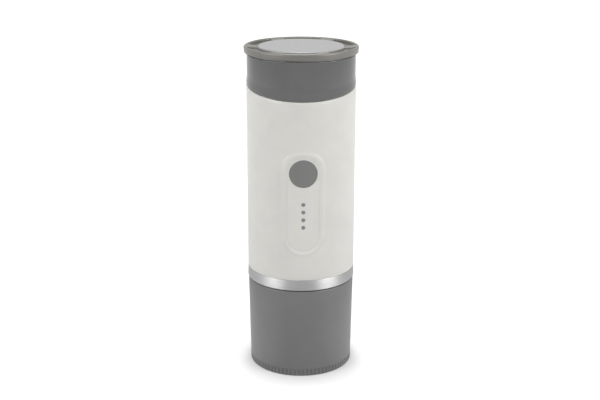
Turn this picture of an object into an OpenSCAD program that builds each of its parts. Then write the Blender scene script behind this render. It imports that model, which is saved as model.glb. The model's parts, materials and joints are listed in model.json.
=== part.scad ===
// Portable capsule coffee maker: tank and lid on top, cells and pump in the body, capsule and cup below

/* [Body shell] */
// Outer diameter of the body shell
body_d = 72; // [70:0.5:80]
// Wall of the body shell
shell_wall = 2.2; // [1.8:0.1:2.8]
// Height of the body shell at its front
shell_front_h = 119; // [116:0.5:130]
// Slope of the seam under the collar, rising to the back, in degrees
seam_tilt = 9.5; // [0:0.5:12]
// Width of the inner ledge that carries the brew head
ledge_w = 0.8; // [0.6:0.1:1.2]
// Height of that ledge
ledge_t = 2; // [1.5:0.1:3]

/* [Control panel] */
// Width of the panel
panel_w = 21.2; // [20.6:0.2:23]
// Thickness of the panel
panel_t = 2; // [1.6:0.1:2.4]
// Radius of the panel's gentle sideways curve
panel_curve_r = 60; // [50:1:90]
// Depth of the panel's middle below the shell's front
panel_sink = 0.3; // [0.1:0.1:0.6]
// Distance between the centres of the panel's round ends
panel_run = 41.6; // [34:0.2:50]
// Width of the raised frame round the panel
frame_w = 2.7; // [2:0.1:3.5]
// Width of the frame's outer slope
frame_slope_w = 1.8; // [1.2:0.1:4]
// Height of the frame over the shell's front
frame_rise = 0.4; // [0.3:0.1:0.8]
// Radius of the frame's gentle sideways curve
frame_curve_r = 43; // [40:1:50]
// Diameter of the button
button_d = 18.1; // [16:0.1:19]
// Height of the button's centre above the shell's lower edge
button_h = 72.6; // [68:0.2:76]
// Height of the button's face over the panel
button_rise = 0.2; // [0:0.1:0.6]
// Thickness of the button's face
button_face_t = 1.6; // [1.2:0.1:2]
// Depth of the button's skirt
button_skirt_h = 3.4; // [3:0.1:3.8]
// Travel of the button
button_travel = 1; // [0.5:0.1:1.2]
// Number of indicator lights
led_count = 4; // [2:1:5]
// Diameter of an indicator light
led_d = 2.5; // [1.6:0.1:3]
// Distance between indicator lights
led_pitch = 5.15; // [4:0.05:6]
// Distance from the button's centre down to the first light
led_drop = 20.6; // [16:0.2:24]

/* [Collar] */
// Height of the collar at its front
collar_front_h = 25.4; // [24:0.2:32]
// Distance that the collar's side stands in from the shell's
collar_inset = 0.4; // [0.2:0.1:0.8]
// Wall of the spigot that plugs into the shell
collar_wall = 1.4; // [1.2:0.1:2]
// Length of the spigot below the seam's front
collar_spigot_h = 8; // [5:0.5:12]
// Height of the bead along the seam
bead_h = 2.4; // [1:0.2:4]
// Open line along the seam
seam_gap = 0.2; // [0.1:0.05:0.4]

/* [Lid] */
// Outer diameter of the lid's lip
lip_d = 75.2; // [73:0.2:80]
// Height of the lip
lip_h = 4.4; // [3.6:0.1:6]
// Distance that the lip's side leans in towards its lower edge
lip_lean = 0.4; // [0.1:0.1:0.8]
// Round on the lip's edges
lip_round = 0.8; // [0.2:0.1:1]
// Shadow gap under the lip
lid_gap = 0.9; // [0.5:0.1:2]
// Width of the lip's top rim
rim_w = 2.1; // [1.5:0.1:3]
// Diameter of the raised disc
disc_d = 56.5; // [44:0.5:62]
// Round on the disc's edge
disc_round = 0.8; // [0.2:0.1:1.2]
// Depth of the pockets round the disc
pocket_depth = 2.6; // [1:0.1:3]
// Number of webs between the pockets
web_count = 6; // [3:1:8]
// Angle that each web takes up, in degrees
web_angle = 16; // [8:1:25]
// Direction of the first web, in degrees from the X axis
web_turn = -4; // [-180:1:180]
// Depth of the webs' tops below the rim
web_drop = 0.6; // [0.1:0.1:1]
// Depth of the plug below the tank's rim
plug_depth = 8; // [7:0.5:14]
// Wall of the plug
plug_wall = 2.4; // [2.2:0.1:3.2]
// Height of the lid's sealing ring
lid_seal_h = 2.6; // [1.6:0.2:3.4]

/* [Water tank] */
// Wall of the tank
tank_wall = 1; // [0.6:0.1:1.6]
// Width of the tank's rim flange
tank_flange_w = 1.8; // [1.2:0.1:2.2]
// Thickness of the rim flange
tank_flange_t = 1; // [0.6:0.1:1.6]
// Diameter of the heater plate
heater_d = 31; // [24:1:32]
// Thickness of the heater plate
heater_t = 2; // [1:0.2:3]
// Space between the upper deck and the tank
heater_bay_h = 6.4; // [6.2:0.1:9]
// Outer diameter of the hose from tank to pump
hose_d = 7.6; // [6.6:0.2:8]
// Diameter of the spigots that the hose fits on
hose_spigot_d = 4.8; // [4:0.2:5.2]
// Diameter of the water way
water_d = 3; // [2:0.2:3.4]

/* [Trim ring] */
// Height of the metal ring
ring_h = 7.2; // [6:0.2:10]
// Distance that the ring's lower edge stands out
ring_flare = 0.25; // [0:0.05:0.5]
// Round on the ring's edges
ring_round = 0.3; // [0.1:0.1:0.6]

/* [Cup] */
// Height of the cup
cup_h = 61.6; // [58:0.2:70]
// Open line between cup and ring
parting_gap = 0.8; // [0.5:0.1:1.5]
// Distance that the cup's rim stands in from the shell
cup_inset = 0.2; // [0:0.1:0.6]
// Distance that the cup tapers in towards its foot
cup_taper = 1.05; // [0.4:0.05:2]
// Wall of the cup's rim
cup_wall = 2; // [1.6:0.1:2.6]
// Width of the shoulder that the brew head's skirt rests on
cup_step = 1.6; // [1.4:0.1:2.4]
// Thickness of the cup's floor
cup_floor_t = 2.6; // [2:0.1:4]
// Height of the hollow under the floor
cup_foot_h = 0.8; // [0.4:0.1:1]
// Width of the foot ring
cup_foot_w = 6; // [4:0.5:10]
// Round on the cup's edges
cup_round = 0.8; // [0.3:0.1:1.2]
// Number of flutes round the foot
flute_count = 80; // [40:1:90]
// Height of the flutes
flute_h = 5; // [3:0.5:8]
// Depth of the flutes
flute_depth = 0.5; // [0.3:0.05:0.7]
// Radius of the flutes
flute_r = 0.7; // [0.7:0.05:0.9]

/* [Power unit] */
// Diameter of a battery cell
cell_d = 18.4; // [17:0.1:18.8]
// Room between the cells and the shell
cell_room = 2.9; // [2.2:0.1:3.4]
// Length of a battery cell
cell_len = 65; // [62:0.5:66]
// Length of the motor
motor_len = 30; // [26:0.5:36]
// Diameter of the motor's shaft
shaft_d = 3; // [2.4:0.1:3.2]
// Thickness of the two decks
deck_t = 3; // [2.5:0.1:4]
// Diameter of the standoffs
standoff_d = 6; // [5:0.2:6.4]
// Thickness of the boards
board_t = 1.6; // [1:0.1:2]
// Distance from the shell's front back to the main board
board_setback = 9.4; // [9:0.1:10]
// Height of the switch on the main board
switch_h = 3.5; // [3.5:0.1:4]

/* [Pump] */
// Number of teeth on a pump gear
gear_teeth = 12; // [11:1:14]
// Size of a tooth: pitch diameter over number of teeth
gear_module = 1; // [0.8:0.05:1.1]
// Width of the pump gears
gear_w = 8; // [6:0.5:10]
// Wall over the gears
pump_top_t = 2.4; // [2:0.1:4]
// Thickness of the pump's cover
pump_cover_t = 3.6; // [3:0.1:5]
// Thickness of the pump's gasket
pump_gasket_t = 0.4; // [0.2:0.1:0.8]
// Wall round the gears
pump_wall = 5.2; // [5:0.1:6]

/* [Brewing chamber] */
// Diameter of the seat for a capsule's rim
capsule_rim_d = 37.4; // [36:0.1:39]
// Diameter of the seat for a capsule, at its mouth
capsule_d = 30.4; // [28:0.1:31]
// Diameter of that seat at its floor
capsule_foot_d = 25; // [22:0.1:27]
// Depth of that seat
capsule_h = 29; // [26:0.5:30]
// Wall of the cradle
cradle_wall = 1; // [0.8:0.1:1.4]
// Wall of the holder
holder_wall = 2.2; // [1.8:0.1:3]
// Share of the room from the capsule's rim out to the skirt that lies inside the threaded spigot
spigot_share = 0.453; // [0.44:0.001:0.46]
// Length of the spigot
spigot_len = 12.5; // [12:0.1:13.5]
// Lift of the thread in one turn
thread_pitch = 4; // [3.8:0.1:4.4]
// Height of the thread
thread_h = 1.1; // [0.8:0.1:1.2]
// Length of the brew head's skirt
skirt_h = 8; // [7:0.5:10]
// Wall of the skirt
skirt_wall = 2.4; // [2.2:0.1:2.6]
// Number of grip ribs on the holder
grip_count = 24; // [12:1:32]

/* [Hidden] */
$fn = 64;

// Clearances: fixed pieces, running shafts, pieces that slide or turn past each other
fit_gap = 0.1;
run_gap = 0.05;
move_gap = 0.3;
// Cutting tools reach this far past a face, and joined pieces this far into each other
over = 1;
sink = 0.5;
// Prisms on the front begin and end this far inside and outside the shell's front
front_in = 8;
front_out = 3;

// Heights of the outside, from the floor up
body_r = body_d / 2;
shell_r_in = body_r - shell_wall;
ring_z0 = cup_h + parting_gap;
shell_z0 = ring_z0 + ring_h;
seam_front_z = shell_z0 + shell_front_h;
collar_top_z = seam_front_z + collar_front_h;
lip_z0 = collar_top_z + lid_gap;
lid_top_z = lip_z0 + lip_h;

// Panel, button and lights on the front
button_z = shell_z0 + button_h;
panel_z0 = button_z - panel_run;
panel_front = body_r - panel_sink;
panel_r = panel_w / 2;
button_r = button_d / 2;
button_back = panel_front - button_skirt_h;
frame_steps = 4;
board_front = body_r - board_setback;
board_back = board_front - board_t;
switch_w = 6;
plunger_d = 3.4;
plunger_tip = board_front + switch_h + 1.2;
plunger_len = 2.7;
led_size = [1.6, 1.2];
led_h = 0.8;
button_gap = 0.25;
led_z = [for (i = [0 : led_count - 1]) button_z - led_drop - i * led_pitch];

// Collar, tank and lid
collar_r = body_r - collar_inset;
collar_spigot_r = shell_r_in - fit_gap;
collar_bore_r = collar_spigot_r - collar_wall;
tank_r = collar_bore_r - fit_gap;
tank_r_in = tank_r - tank_wall;
tank_flange_r = tank_r + tank_flange_w;
tank_rim_z = collar_top_z - fit_gap;
lip_r = lip_d / 2;
disc_r = disc_d / 2;
channel_r = lip_r - rim_w;
plug_gap = 0.6;
plug_r = tank_r_in - plug_gap;
plug_flange_r = tank_flange_r - 0.4;
plug_z0 = tank_rim_z - plug_depth;
seal_groove_depth = 1;
lid_seal_z0 = plug_z0 + 2;

// Brew head, from its flange down to the capsule
head_flange_t = 3.8;
head_flange_r = shell_r_in - 2 * fit_gap;
head_r = shell_r_in - ledge_w - fit_gap;
head_flange_z0 = shell_z0 + ledge_t;
head_top_z = head_flange_z0 + head_flange_t;
head_plate_t = 4;
chamber_h = 1.5;
head_boss_r = 13;
plug_in_r = head_boss_r - 1;
plug_in_h = 3;
ceiling_z = ring_z0 - 0.4;
skirt_z0 = ceiling_z - skirt_h;
cup_top_r = body_r - cup_inset;
cup_base_r = cup_top_r - cup_taper;
cup_r_in = cup_top_r - cup_wall;
skirt_r = cup_r_in - 1;
skirt_r_in = skirt_r - skirt_wall;
cup_seal_root_r = skirt_r - 1.2;
cup_seal_h = 2.4;
cup_seal_z0 = skirt_z0 + 2.4;
spigot_r = capsule_rim_d / 2 + spigot_share * (skirt_r_in - capsule_rim_d / 2);
spigot_root_r = spigot_r - thread_h;
spigot_z0 = ceiling_z - spigot_len;
head_seal_t = 1.2;
head_seal_w = 4.2;
cradle_top_z = spigot_z0 - head_seal_t - fit_gap;
cradle_flange_t = 1.4;
cradle_flange_z0 = cradle_top_z - cradle_flange_t;
capsule_rim_t = 1;
cradle_flange_r = capsule_rim_d / 2 + 2.8;
cradle_floor_t = 1.2;
cradle_floor_z = cradle_top_z - capsule_h;
plate_t = 0.8;
plate_r = capsule_rim_d / 2 - 2.6;
spike_h = 5;
foot_spike_h = 3;
spike_r = 1.6;
spike_tip_r = 0.15;
spike_ring_r = 8;
spike_count = 3;

// Screw-on holder
holder_bore_r = spigot_r + move_gap;
holder_shoulder_z = cradle_flange_z0 - run_gap;
holder_cavity_r = capsule_d / 2 + cradle_wall + 0.6;
holder_r = holder_cavity_r + holder_wall;
holder_floor_z = cradle_floor_z - cradle_floor_t - 0.2;
holder_collar_r = holder_bore_r + holder_wall + 0.7;
holder_top_z = ceiling_z - 1;
holder_shoulder_t = 2.4;
holder_flare_h = 6;
grip_r = 0.8;
spout_r = 2.2;
spout_x = 5;

// Thread: one ridge on the spigot, one in the holder, each a little under half the pitch wide
thread_root_w = 0.45 * thread_pitch;
thread_tip_w = 0.25 * thread_pitch;
thread_steps = 24;
spigot_thread_turns = 1.75;
holder_thread_turns = 2;
spigot_thread_z0 = spigot_z0 + 2.5;
holder_thread_z0 = spigot_thread_z0 - thread_pitch / 2 - 0.4;
thread_sink = 0.3;

// Screws
screw_d = 3;
screw_head_d = 5.2;
screw_head_h = 2.4;
small_screw_d = 2.5;
small_head_d = 4.4;
small_head_h = 1.8;
screw_sink = 0.2;
head_screw_bite = 5;
deck_screw_bite = 7;
post_screw_bite = 3;

// Pump, from the brew head up to the lower deck
pump_angle = 48;
pump_clear = small_head_h + 0.6;
cover_z0 = head_top_z + pump_clear;
gasket_z0 = cover_z0 + pump_cover_t;
pump_z0 = gasket_z0 + pump_gasket_t;
gear_end_gap = 0.1;
gear_z0 = pump_z0 + gear_end_gap;
cavity_top_z = gear_z0 + gear_w + gear_end_gap;
deck_z0 = cavity_top_z + pump_top_t;
gear_distance = gear_module * gear_teeth;
pitch_r = gear_distance / 2;
addendum = 0.8 * gear_module;
gear_tip_r = pitch_r + addendum;
gear_root_r = pitch_r - addendum - 0.2 * gear_module;
pressure_angle = 25;
gear_backlash = 0.15;
cavity_r = gear_tip_r + fit_gap;
pump_r = cavity_r + pump_wall;
pump_corner_r = 2.6;
pump_screw_inset = 2.5;
pump_screw_bite = 2;
pin_depth = 1.9;
pin_top_h = 1.5;
shaft_r = shaft_d / 2;
water_r = water_d / 2;
outlet_x = gear_tip_r - water_r;
seal_pocket_r = shaft_r + 2.5;
seal_pocket_h = pump_top_t - 0.8;
nozzle_r = water_r + 2.5;
nozzle_z0 = head_top_z - 5.4;
inlet_z = gear_z0 + gear_w / 2;

// Check valve under the pump's outlet
valve_ball_r = water_r + 0.7;
valve_bore_r = valve_ball_r + 0.4;
valve_ball_z = nozzle_z0 - sqrt(pow(valve_ball_r, 2) - pow(water_r, 2)) - run_gap;
valve_seat_z = spigot_z0 + 4.5;
valve_out_r = valve_ball_r - 0.6;
spring_wire_r = 0.25;
spring_r = valve_ball_r - spring_wire_r;
spring_turns = 8;
spring_steps = 8;
spring_sides = 6;
spring_z0 = valve_seat_z + spring_wire_r;
spring_z1 = valve_ball_z - valve_ball_r - spring_wire_r - run_gap;

// Decks, cells and motor
deck_z1 = deck_z0 + deck_t;
deck_r = shell_r_in - 0.4;
link_t = 0.3;
cell_z0 = deck_z1 + link_t;
upper_deck_z0 = cell_z0 + cell_len + link_t;
upper_deck_z1 = upper_deck_z0 + deck_t;
tank_z0 = upper_deck_z1 + heater_bay_h;
cell_r = cell_d / 2;
cell_ring_r = shell_r_in - cell_room - cell_r;
motor_gap = 0.4;
motor_r = cell_ring_r - cell_r - motor_gap;
cell_angles = [90, 210, 330];
cell_nub_r = 3.2;
cell_nub_h = 0.8;
standoff_r = standoff_d / 2;
standoff_ring_r = (spigot_r + skirt_r_in) / 2;
standoff_angles = [0, 120, 240];
board_gap = 1.1;
board_w = 2 * (standoff_ring_r * cos(60) - standoff_r - board_gap);
stud_len = deck_t + 5;
tab_w = 14;
tab_t = 2.5;
tab_h = 8;
tab_screw_h = 0.6 * tab_h;
tab_screw_x = 4.4;
motor_wall = 1;
motor_floor_t = 1.2;
motor_boss_r = 4;
motor_boss_h = 2;
motor_z1 = deck_z1 + motor_len;
endcap_t = 3;
bush_r = 3;
magnet_t = 1.4;
magnet_angle = 130;
magnet_foot = 4;
magnet_head = 7;
magnet_z0 = deck_z1 + magnet_foot;
magnet_h = motor_len - magnet_foot - magnet_head;
armature_r = motor_r - motor_wall - magnet_t - 0.5;

// Hose from the tank's outlet to the pump's inlet, in the pump's turned frame
hose_r = hose_d / 2;
hose_spigot_r = hose_spigot_d / 2;
hose_bend_r = 7;
hose_x = 22;
hose_y = -pitch_r;
inlet_x = hose_x - hose_bend_r;
outlet_shank_r = 3.9;
outlet_flange_r = 4.7;
outlet_flange_t = 1.2;
outlet_seal_t = 0.6;
outlet_nut_r = 5.6;
outlet_nut_t = 2.6;
outlet_shank_z0 = tank_z0 - outlet_seal_t - outlet_nut_t - 1;
outlet_spigot_len = 5;

// Charging board at the back, hung from the lower deck
post_h = 10.4;
post_r = 2.2;
post_x = 5.6;
post_y = 21.5;
charge_board_z1 = deck_z0 - post_h;
charge_board_w = 16;
charge_board_y0 = 18.5;
charge_board_y1 = shell_r_in - 2;
socket_w = 9;
socket_h = 3.3;
socket_wall = 0.35;
socket_len = 7.5;
socket_z = charge_board_z1 + socket_h / 2;
socket_front = body_r - 0.3;

// Points along an arc, from angle a0 to a1
function arc_points(c, r, a0, a1, n = 5) =
  [for (i = [0 : n]) c + r * [cos(a0 + (a1 - a0) * i / n), sin(a0 + (a1 - a0) * i / n)]];

// Ring between two radii and two heights
module tube(r_out, r_in, z0, z1) {
  translate([0, 0, z0])
    difference() {
      cylinder(r = r_out, h = z1 - z0);
      translate([0, 0, -over]) cylinder(r = r_in, h = z1 - z0 + 2 * over);
    }
}

module rod(r, z0, z1) {
  translate([0, 0, z0]) cylinder(r = r, h = z1 - z0);
}

// Prism on the front, between two distances from the axis
module front_prism(from, to) {
  translate([0, -from, 0]) rotate([90, 0, 0]) linear_extrude(to - from) children();
}

// Outline with two round ends, one above the other
module stadium(r, z0, z1) {
  translate([0, z0]) circle(r);
  translate([0, z1]) circle(r);
  translate([-r, z0]) square([2 * r, z1 - z0]);
}

// Upright cylinder of radius r whose front line lies at the given distance
module front_curve(r, front) {
  translate([0, r - front, shell_z0]) cylinder(r = r, h = shell_front_h, $fn = 128);
}

// Everything above the seam's plane, shifted up along its normal
module above_seam(shift) {
  translate([0, -body_r, seam_front_z])
    rotate([seam_tilt, 0, 0])
      translate([-body_d, -body_d, shift]) cube([2 * body_d, 3 * body_d, body_d]);
}

// Closed surface through a row of rings with equally many points
module swept(rings) {
  n = len(rings);
  m = len(rings[0]);
  sides = [
    for (i = [0 : n - 2]) for (j = [0 : m - 1])
      each [
        [i * m + j, i * m + (j + 1) % m, (i + 1) * m + (j + 1) % m],
        [i * m + j, (i + 1) * m + (j + 1) % m, (i + 1) * m + j]
      ]
  ];
  first = [for (j = [1 : m - 2]) [0, j + 1, j]];
  last = [for (j = [1 : m - 2]) [(n - 1) * m, (n - 1) * m + j, (n - 1) * m + j + 1]];
  polyhedron(points = [for (ring = rings) each ring], faces = concat(sides, first, last));
}

// Helical ridge of trapezoid section, rising as it turns
module thread_ridge(r_root, r_tip, z0, turns) {
  side = sign(r_tip - r_root);
  section = [
    [r_root - side * thread_sink, -side * thread_root_w / 2],
    [r_tip, -side * thread_tip_w / 2],
    [r_tip, side * thread_tip_w / 2],
    [r_root - side * thread_sink, side * thread_root_w / 2]
  ];
  swept([
    for (i = [0 : turns * thread_steps])
      let (a = 360 * i / thread_steps, z = z0 + thread_pitch * i / thread_steps)
        [for (p = section) [p[0] * cos(a), p[0] * sin(a), z + p[1]]]
  ]);
}

// Involute of a base circle: polar angle where it reaches radius r
function involute_angle(base_r, r) =
  let (roll = sqrt(max(0, pow(r / base_r, 2) - 1))) roll * 180 / PI - atan(roll);

// Half the angle that a tooth takes up at radius r
function tooth_half_angle(r) =
  let (base_r = pitch_r * cos(pressure_angle))
    90 / gear_teeth - gear_backlash / 2 / pitch_r * 180 / PI
      + involute_angle(base_r, pitch_r) - involute_angle(base_r, max(r, base_r));

module gear(bore_r) {
  flank_steps = 6;
  radii = [for (i = [0 : flank_steps]) gear_root_r + (gear_tip_r - gear_root_r) * i / flank_steps];
  outline = [
    for (k = [0 : gear_teeth - 1])
      let (mid = 360 * k / gear_teeth)
        each concat(
          [for (r = radii) r * [cos(mid - tooth_half_angle(r)), sin(mid - tooth_half_angle(r))]],
          [for (i = [flank_steps : -1 : 0])
            let (r = radii[i]) r * [cos(mid + tooth_half_angle(r)), sin(mid + tooth_half_angle(r))]]
        )
  ];
  difference() {
    translate([0, 0, gear_z0]) linear_extrude(gear_w) polygon(outline);
    translate([0, 0, gear_z0 - over]) cylinder(r = bore_r, h = gear_w + 2 * over);
  }
}

// Screw with its head down and its shank up from z0
module screw_up(z0, d, len, head_d, head_h) {
  rod(head_d / 2, z0, z0 + head_h);
  rod(d / 2, z0 + head_h, z0 + head_h + len);
}

module at_standoffs() {
  for (a = standoff_angles) rotate([0, 0, a]) translate([standoff_ring_r, 0, 0]) children();
}

module at_pump() {
  rotate([0, 0, pump_angle]) children();
}

module at_idler() {
  at_pump() translate([0, -gear_distance, 0]) children();
}

module at_hose() {
  at_pump() translate([hose_x, hose_y, 0]) children();
}

module at_valve() {
  at_pump() translate([-outlet_x, -pitch_r, 0]) children();
}

module at_pump_screws() {
  inset = pump_r - pump_screw_inset;
  at_pump()
    for (x = [-inset, inset]) for (y = [inset, -gear_distance - inset])
      translate([x, y, 0]) children();
}

module at_main_board_screws() {
  for (z = [deck_z1 + tab_screw_h, upper_deck_z0 - tab_screw_h])
    for (x = [-tab_screw_x, tab_screw_x]) translate([x, 0, z]) children();
}

module at_posts() {
  for (x = [-post_x, post_x]) translate([x, post_y, 0]) children();
}

module at_spikes() {
  for (k = [0 : spike_count - 1])
    rotate([0, 0, 360 * k / spike_count]) translate([spike_ring_r, 0, 0]) children();
}

// Lid

module lid_cap() {
  low_r = lip_r - lip_lean;
  pocket_z = lid_top_z - pocket_depth;
  outline = concat(
    [[0, lip_z0]],
    arc_points([low_r - lip_round, lip_z0 + lip_round], lip_round, -90, 0),
    arc_points([lip_r - lip_round, lid_top_z - lip_round], lip_round, 0, 90),
    [[channel_r, lid_top_z], [channel_r, pocket_z], [disc_r, pocket_z]],
    arc_points([disc_r - disc_round, lid_top_z - disc_round], disc_round, 0, 90),
    [[0, lid_top_z]]
  );
  color("DarkGray")
    union() {
      rotate_extrude() polygon(outline);
      for (k = [0 : web_count - 1])
        rotate([0, 0, web_turn + k * 360 / web_count - web_angle / 2])
          rotate_extrude(angle = web_angle)
            translate([disc_r - sink, pocket_z - sink])
              square([channel_r - disc_r + 2 * sink, pocket_depth - web_drop + sink]);
    }
}

module lid_plug() {
  color("Gainsboro")
    difference() {
      union() {
        rod(plug_flange_r, tank_rim_z, lip_z0);
        rod(plug_r, plug_z0, tank_rim_z + sink);
      }
      rod(plug_r - plug_wall, plug_z0 - over, lip_z0 + over);
      tube(plug_r + over, plug_r - seal_groove_depth, lid_seal_z0, lid_seal_z0 + lid_seal_h);
    }
}

module lid_gasket() {
  color("LightGray")
    tube(tank_r_in - run_gap, plug_r - seal_groove_depth, lid_seal_z0, lid_seal_z0 + lid_seal_h);
}

// Collar, tank and heater

module upper_collar() {
  color("DimGray")
    difference() {
      union() {
        intersection() {
          rod(collar_r, shell_z0, collar_top_z);
          above_seam(seam_gap);
        }
        intersection() {
          rod(body_r, shell_z0, collar_top_z);
          difference() {
            above_seam(seam_gap);
            above_seam(seam_gap + bead_h);
          }
        }
        rod(collar_spigot_r, seam_front_z - collar_spigot_h, collar_top_z - over);
      }
      rod(collar_bore_r, shell_z0, collar_top_z + over);
      rod(tank_flange_r + fit_gap, tank_rim_z - tank_flange_t, collar_top_z + over);
    }
}

module water_tank() {
  color("Silver")
    difference() {
      union() {
        rod(tank_r, tank_z0, tank_rim_z);
        rod(tank_flange_r, tank_rim_z - tank_flange_t, tank_rim_z);
      }
      rod(tank_r_in, tank_z0 + tank_wall, tank_rim_z + over);
      at_hose() rod(outlet_shank_r + fit_gap, tank_z0 - over, tank_z0 + tank_wall + over);
    }
}

module tank_outlet() {
  flange_z = tank_z0 + tank_wall;
  spigot_end_z = outlet_shank_z0 - outlet_spigot_len;
  color("Peru")
    at_hose()
      difference() {
        union() {
          rod(outlet_flange_r, flange_z, flange_z + outlet_flange_t);
          rod(outlet_shank_r, outlet_shank_z0, flange_z);
          rod(hose_spigot_r, spigot_end_z, outlet_shank_z0);
        }
        rod(water_r, spigot_end_z - over, flange_z + outlet_flange_t + over);
      }
}

module outlet_seal() {
  color("DarkSlateGray")
    at_hose() tube(outlet_flange_r, outlet_shank_r + run_gap, tank_z0 - outlet_seal_t, tank_z0);
}

module outlet_nut() {
  z1 = tank_z0 - outlet_seal_t;
  color("Peru")
    at_hose()
      difference() {
        translate([0, 0, z1 - outlet_nut_t]) cylinder(r = outlet_nut_r, h = outlet_nut_t, $fn = 6);
        rod(outlet_shank_r + run_gap, z1 - outlet_nut_t - over, z1 + over);
      }
}

module heater_plate() {
  color("Goldenrod") rod(heater_d / 2, tank_z0 - heater_t, tank_z0);
}

module thermistor() {
  size = [6, 4, 2.4];
  from_axis = 9;
  color("White")
    translate([-from_axis, -size[1] / 2, tank_z0 - heater_t - size[2]]) cube(size);
}

module thermal_fuse() {
  fuse_r = 1.8;
  fuse_len = 11;
  from_edge = 8.5;
  at = [-2, heater_d / 2 - from_edge];
  color("LightGray")
    translate([at[0], at[1], tank_z0 - heater_t - fuse_r])
      rotate([0, 90, 0]) cylinder(r = fuse_r, h = fuse_len);
}

// Solid hose route of the given radius: down from the tank, round a bend and into the pump
module hose_route(r, top_z, end_x) {
  bend_z = inlet_z + hose_bend_r;
  translate([hose_x, hose_y, bend_z]) cylinder(r = r, h = top_z - bend_z);
  translate([hose_x - hose_bend_r, hose_y, bend_z])
    rotate([90, 0, 0])
      rotate([0, 0, -90])
        rotate_extrude(angle = 90) translate([hose_bend_r, 0]) circle(r);
  translate([end_x, hose_y, inlet_z]) rotate([0, 90, 0]) cylinder(r = r, h = inlet_x - end_x);
}

module inlet_hose() {
  color("GhostWhite")
    at_pump()
      difference() {
        hose_route(hose_r, outlet_shank_z0 - fit_gap, pump_r + fit_gap);
        hose_route(hose_spigot_r + run_gap, outlet_shank_z0 + over, pump_r - over);
      }
}

// Body shell and its front

// Raised frame round the panel, stepped down to the shell's side
module panel_boss() {
  for (k = [0 : frame_steps - 1]) {
    t = k / frame_steps;
    intersection() {
      front_prism(body_r - front_in, body_r + front_out)
        stadium(panel_r + frame_w + t * frame_slope_w, panel_z0, button_z);
      front_curve(frame_curve_r + t * (body_r - frame_curve_r), body_r + (1 - t) * frame_rise);
    }
  }
}

module body_shell() {
  socket_gap = 0.4;
  color("WhiteSmoke")
    difference() {
      union() {
        difference() {
          rod(body_r, shell_z0, collar_top_z);
          above_seam(0);
        }
        panel_boss();
      }
      rod(shell_r_in, shell_z0 + ledge_t, collar_top_z + over);
      rod(head_r + fit_gap, shell_z0 - over, shell_z0 + ledge_t + over);
      front_prism(board_front, body_r + front_out) stadium(panel_r + fit_gap, panel_z0, button_z);
      translate([0, body_r + over, socket_z])
        rotate([90, 0, 0])
          linear_extrude(shell_wall + 3 * over) socket_outline(socket_gap);
    }
}

module control_panel() {
  color("White")
    difference() {
      intersection() {
        front_prism(board_front, body_r + front_out) stadium(panel_r, panel_z0, button_z);
        front_curve(panel_curve_r, panel_front);
      }
      front_curve(panel_curve_r - panel_t, panel_front - panel_t);
      front_prism(board_front, body_r + front_out) translate([0, button_z]) circle(button_r + button_gap);
      for (z = led_z)
        front_prism(board_front, body_r + front_out) translate([0, z]) circle(led_d / 2 + run_gap);
    }
}

module power_button() {
  face_back = panel_front - button_face_t;
  skirt_t = 1.4;
  stem_r = 2.2;
  color("Gray")
    union() {
      difference() {
        intersection() {
          front_prism(button_back, body_r + front_out) translate([0, button_z]) circle(button_r);
          front_curve(panel_curve_r + button_rise, panel_front + button_rise);
        }
        front_prism(button_back - over, face_back) translate([0, button_z]) circle(button_r - skirt_t);
      }
      front_prism(plunger_tip, face_back + sink) translate([0, button_z]) circle(stem_r);
    }
}

module switch_plunger() {
  color("DarkSlateGray")
    front_prism(plunger_tip - plunger_len, plunger_tip) translate([0, button_z]) circle(plunger_d / 2);
}

module tact_switch() {
  bore_back = plunger_tip - plunger_len - button_travel - move_gap;
  color("DimGray")
    difference() {
      front_prism(board_front, board_front + switch_h)
        translate([-switch_w / 2, button_z - switch_w / 2]) square(switch_w);
      front_prism(bore_back, board_front + switch_h + over)
        translate([0, button_z]) circle(plunger_d / 2 + move_gap);
    }
}

module status_leds() {
  color("LightCyan")
    for (z = led_z)
      front_prism(board_front, board_front + led_h)
        translate([-led_size[0] / 2, z - led_size[1] / 2]) square(led_size);
}

// Rods on one bar, from the lights to the panel's face
module light_guide() {
  bar_w = 3.2;
  bar_t = 1.2;
  bar_margin = 2;
  bar_back = panel_front - panel_t - 2 * bar_t;
  low_z = led_z[led_count - 1] - bar_margin;
  color("SlateGray")
    union() {
      for (z = led_z)
        front_prism(board_front + led_h + move_gap, panel_front) translate([0, z]) circle(led_d / 2);
      front_prism(bar_back, bar_back + bar_t)
        translate([-bar_w / 2, low_z]) square([bar_w, led_z[0] + bar_margin - low_z]);
    }
}

// Boards

module main_board() {
  z0 = deck_z1 + fit_gap;
  color("DarkGreen")
    difference() {
      front_prism(board_back, board_front)
        translate([-board_w / 2, z0]) square([board_w, upper_deck_z0 - fit_gap - z0]);
      at_main_board_screws()
        front_prism(board_back - over, board_front + over) circle(small_screw_d / 2 + fit_gap);
    }
}

// Controller, driver and storage parts on the board's back
module board_parts() {
  // Left edge, lower edge from the button, width, height and thickness of each
  chips = [[-4, -14, 8, 8, 1.2], [-6, -27, 12, 7, 2.4], [-7, -3, 5, 4, 1.5], [2, -3, 5, 4, 1.5]];
  color("Black")
    for (c = chips)
      front_prism(board_back - c[4], board_back) translate([c[0], button_z + c[1]]) square([c[2], c[3]]);
}

module board_screws() {
  head_z = charge_board_z1 - board_t - small_head_h;
  color("Silver")
    union() {
      at_main_board_screws() {
        front_prism(board_front, board_front + small_head_h) circle(small_head_d / 2);
        front_prism(board_back - tab_t + sink, board_front) circle(small_screw_d / 2);
      }
      at_posts() screw_up(head_z, small_screw_d, board_t + post_screw_bite, small_head_d, small_head_h);
    }
}

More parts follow.
